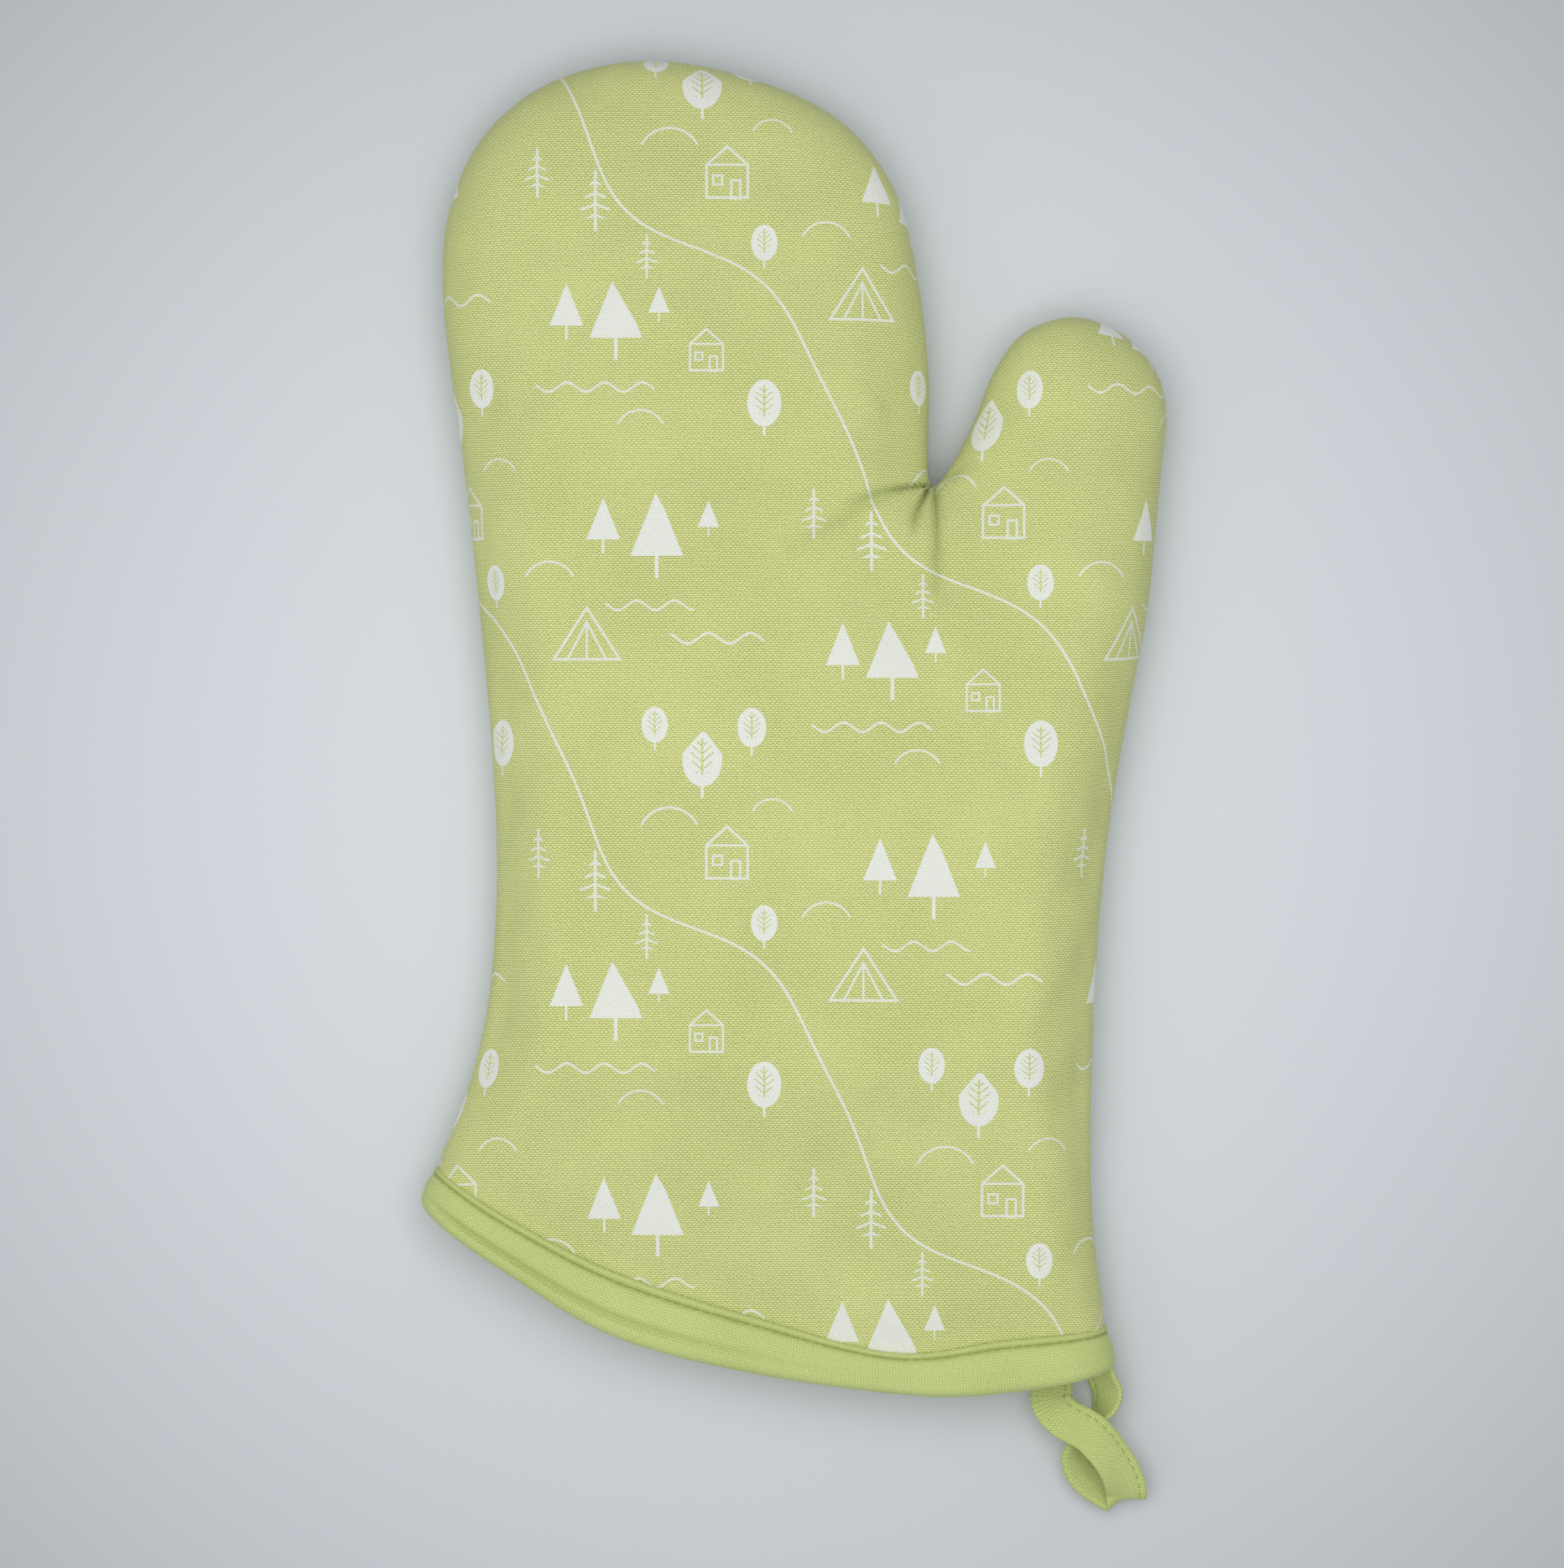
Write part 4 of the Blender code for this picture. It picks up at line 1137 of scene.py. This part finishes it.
def section_points():
    """The binding's section as a line: the outside leg, the rolled fold and the inside leg."""
    centre_t, centre_n = BINDING_ROLL - FOLD_REACH, -BINDING_ROLL + 0.05
    roll = []
    for a in np.linspace(pi * 0.58, pi * 1.42, 15):
        c, s = (abs(f(a)) ** 0.72 * (1 if f(a) > 0 else -1) for f in (cos, sin))
        roll.append(((centre_t + BINDING_ROLL * c) / BINDING_WIDE, centre_n + BINDING_ROLL * s))
    return BINDING_SECTION + roll + INSIDE_LEG


def ridge(t, middle, wide):
    """1 at one share of the section, and falling away on both sides."""
    return exp(-((t - middle) / wide) ** 2)


stations = cuff_stations()
every = np.concatenate([stations, stations[-2:0:-1]])
section_scale = (BINDING_WIDE, 1.0)
ring = rounded(np.array(section_points()) * section_scale, BINDING_THICK) / section_scale
valley = VALLEY_DEPTH * (1.0 - smoothstep(0.3, 0.62, every)) * smoothstep(0.0, 0.06, every)
valley[len(stations):] *= VALLEY_BACK
# The shade painted along the row of stitches varies, standing in for the cloth drawn in
# unevenly, and the strip wobbles a little along its middle.
pucker = 0.75 + 0.15 * np.sin(every * 431.0) + 0.1 * np.sin(every * 187.0 + 1.0)
lines, painted_cavity_shade = [], []
for t, n in ring:
    outside = n > OUTSIDE
    sunk = valley * ridge(t, VALLEY_AT, VALLEY_WIDE) * outside
    wobble = 0.12 * np.sin(every * 61.0 + 2.0 * t) + 0.09 * np.sin(every * 143.0 + 1.0)
    lines.append(round_cuff(np.full(len(every), t),
                            n - sunk + wobble * (ridge(t, 0.5, 0.3) * outside))[0])
    # Shade painted along the row of stitches and into the valley, on the strip's outside only.
    painted_cavity_shade.append((STITCH_SHADE * pucker * ridge(t, STITCH_AT, STITCH_SHADE_WIDE)
                   + VALLEY_SHADE * valley * ridge(t, VALLEY_AT, VALLEY_SHADE_WIDE)) * outside)
rings = np.stack(lines, axis=1)
rings[:, :, 2] = np.maximum(rings[:, :, 2], 0.0)
run = along(np.vstack([rings[:, 8], rings[:1, 8]]))
girth = along(ring * section_scale)
uv = np.array([(r, g) for r in run[:-1] for g in girth])
binding = sweep("cuff_binding_strip", rings, uv, closed=True)
finished(binding, plain_cotton, ("hand",), ["cuff_binding"])
shaded(binding, np.stack(painted_cavity_shade, axis=1).ravel())

row, ways = round_cuff(np.full(len(every), STITCH_AT), np.full(len(every), STITCH_OUT))
row, ways = np.vstack([row, row[:1]]), np.vstack([ways, ways[:1]])
topstitch = stitches("cuff_topstitch", row, ways, STITCH_RADIUS)
finished(topstitch, thread_green, ("hand",), ["binding_stitch_thread"])

# ---- the hanging loop

TAPE_WIDE, TAPE_THICK = 10.2, 1.5
TAPE_PIECES = 12  # of the path, between two of its points
TAPE_STITCH = 3.3  # the tape's row of stitches, from its middle line
TAPE_STITCH_LIFT, TAPE_STITCH_RADIUS = 0.62, 0.2

path, across = (spline(points, TAPE_PIECES) for points in zip(*TAPE_PATH))
cup = spline([(c, 0.0) for c in TAPE_CUP], TAPE_PIECES)[:, :1]
side, third = frames_along(path, across)
half, thin = TAPE_WIDE / 2, TAPE_THICK / 2
# The tape's section: one face from edge to edge, with a groove for the stitches, and its twin.
profile = [(-half, 0.0), (-half + 0.12, thin * 0.62), (-half + 0.5, thin * 0.95),
           (-half + 1.6, thin), (-1.0, thin * 0.82), (1.2, thin * 0.8), (2.4, thin * 0.95),
           (2.95, thin * 0.8), (TAPE_STITCH, thin * 0.55), (3.65, thin * 0.85),
           (4.1, thin * 0.95), (half - 0.15, thin * 0.6)]
profile += [(half, 0.0)] + [(x, -y) for x, y in profile[:0:-1]]
profile = np.array(profile)
cupped = cup * profile[None, :, 0] ** 2
rings = (path[:, None] + side[:, None] * profile[None, :, :1]
         + third[:, None] * (profile[None, :, 1] + cupped)[:, :, None])
rings[:, :, 2] = np.maximum(rings[:, :, 2], 0.0)
run, girth = along(path), along(profile)
uv = np.array([(r, g) for r in run for g in girth])
tape = sweep("hanging_loop_tape", rings, uv)
finished(tape, plain_cotton, LOOP_BEND, ["hanging_loop"])

rows = []
for face in (1, -1):
    lift = face * thin * TAPE_STITCH_LIFT + cup * TAPE_STITCH ** 2
    middle = path + side * TAPE_STITCH + third * lift
    rows.append(stitches(f"loop_stitches_{face}", middle[2:-2], (third * face)[2:-2],
                         TAPE_STITCH_RADIUS))
both = bmesh.new()
for part in rows:
    both.from_mesh(part.data)
both.to_mesh(rows[0].data)
both.free()
bpy.data.objects.remove(rows[1])
rows[0].name = "loop_stitches"
finished(rows[0], thread_green, LOOP_BEND, ["loop_stitch_thread"])

# ---- floor, lights and camera

# In metres. The paper's colours are linear: by the mitt, then darker further out as painted
# shade, and lighter again past the camera's view as painted light.
FLOOR_HALF, FLOOR_DROP = 3.0, 0.0002
PAPER_NEAR, PAPER_PAINTED_SHADE, PAPER_PAINTED_LIGHT = (0.725, 0.755, 0.79), (0.475, 0.485, 0.505), (0.86, 0.88, 0.90)
SKY_COLOUR, SKY_STRENGTH = (0.92, 0.96, 1.0, 1.0), 0.46
LAMPS = (("overhead", (-0.01, 0.02, 0.60), 0.5, 2.15), ("fill", (-0.7, -0.4, 0.8), 0.6, 0.8))
CAMERA_AT, CAMERA_HEIGHT, FRAME_WIDE = (-0.0027, 0.0003), 0.9, 0.3854
SENSOR_WIDE = 36.0  # millimetres, as the lens

floor_mesh = bpy.data.meshes.new("floor")
corners = [(x * FLOOR_HALF, y * FLOOR_HALF, 0) for x, y in ((-1, -1), (1, -1), (1, 1), (-1, 1))]
floor_mesh.from_pydata(corners, [], [(0, 1, 2, 3)])
floor = add("floor", floor_mesh)
floor.location.z = -FLOOR_DROP
floor_material, tree, floor_shader = new_material("pale paper", 0.7, 0.0)
place = object_place(tree)
away = vector("DOT_PRODUCT", place, place)
# Painted shade darkens the paper away from the mitt, and painted light brightens it far off, by
# the distance from the floor's middle.
outward_painted_shade, far_painted_light = clamped(away * 10.0), clamped(away * 1.2 - 0.12)
paper = mixed(far_painted_light, mixed(outward_painted_shade, PAPER_NEAR, PAPER_PAINTED_SHADE), PAPER_PAINTED_LIGHT)
wire(floor_shader, {"Base Color": paper})
floor_mesh.materials.append(floor_material)

world = bpy.data.worlds.new("studio")
bpy.context.scene.world = world
world.use_nodes = True
wire(world.node_tree.nodes["Background"], {"Color": SKY_COLOUR, "Strength": SKY_STRENGTH})

for name, at, size, power in LAMPS:
    light = bpy.data.lights.new(name, "AREA")
    light.shape = "SQUARE"
    light.size = size
    light.energy = power
    lamp = add(name, light)
    lamp.location = at
    lamp.rotation_euler = (-Vector(at)).to_track_quat("-Z", "Y").to_euler()
    lamp.visible_camera = False

camera_data = bpy.data.cameras.new("camera")
camera_data.sensor_fit = "HORIZONTAL"
camera_data.sensor_width = SENSOR_WIDE
camera_data.lens = CAMERA_HEIGHT / FRAME_WIDE * SENSOR_WIDE
camera_data.clip_end = 20.0
camera = add("camera", camera_data)
camera.location = (*CAMERA_AT, CAMERA_HEIGHT + SEAM_HEIGHT * MM)
bpy.context.scene.camera = camera
bpy.context.scene.view_settings.view_transform = "Standard"
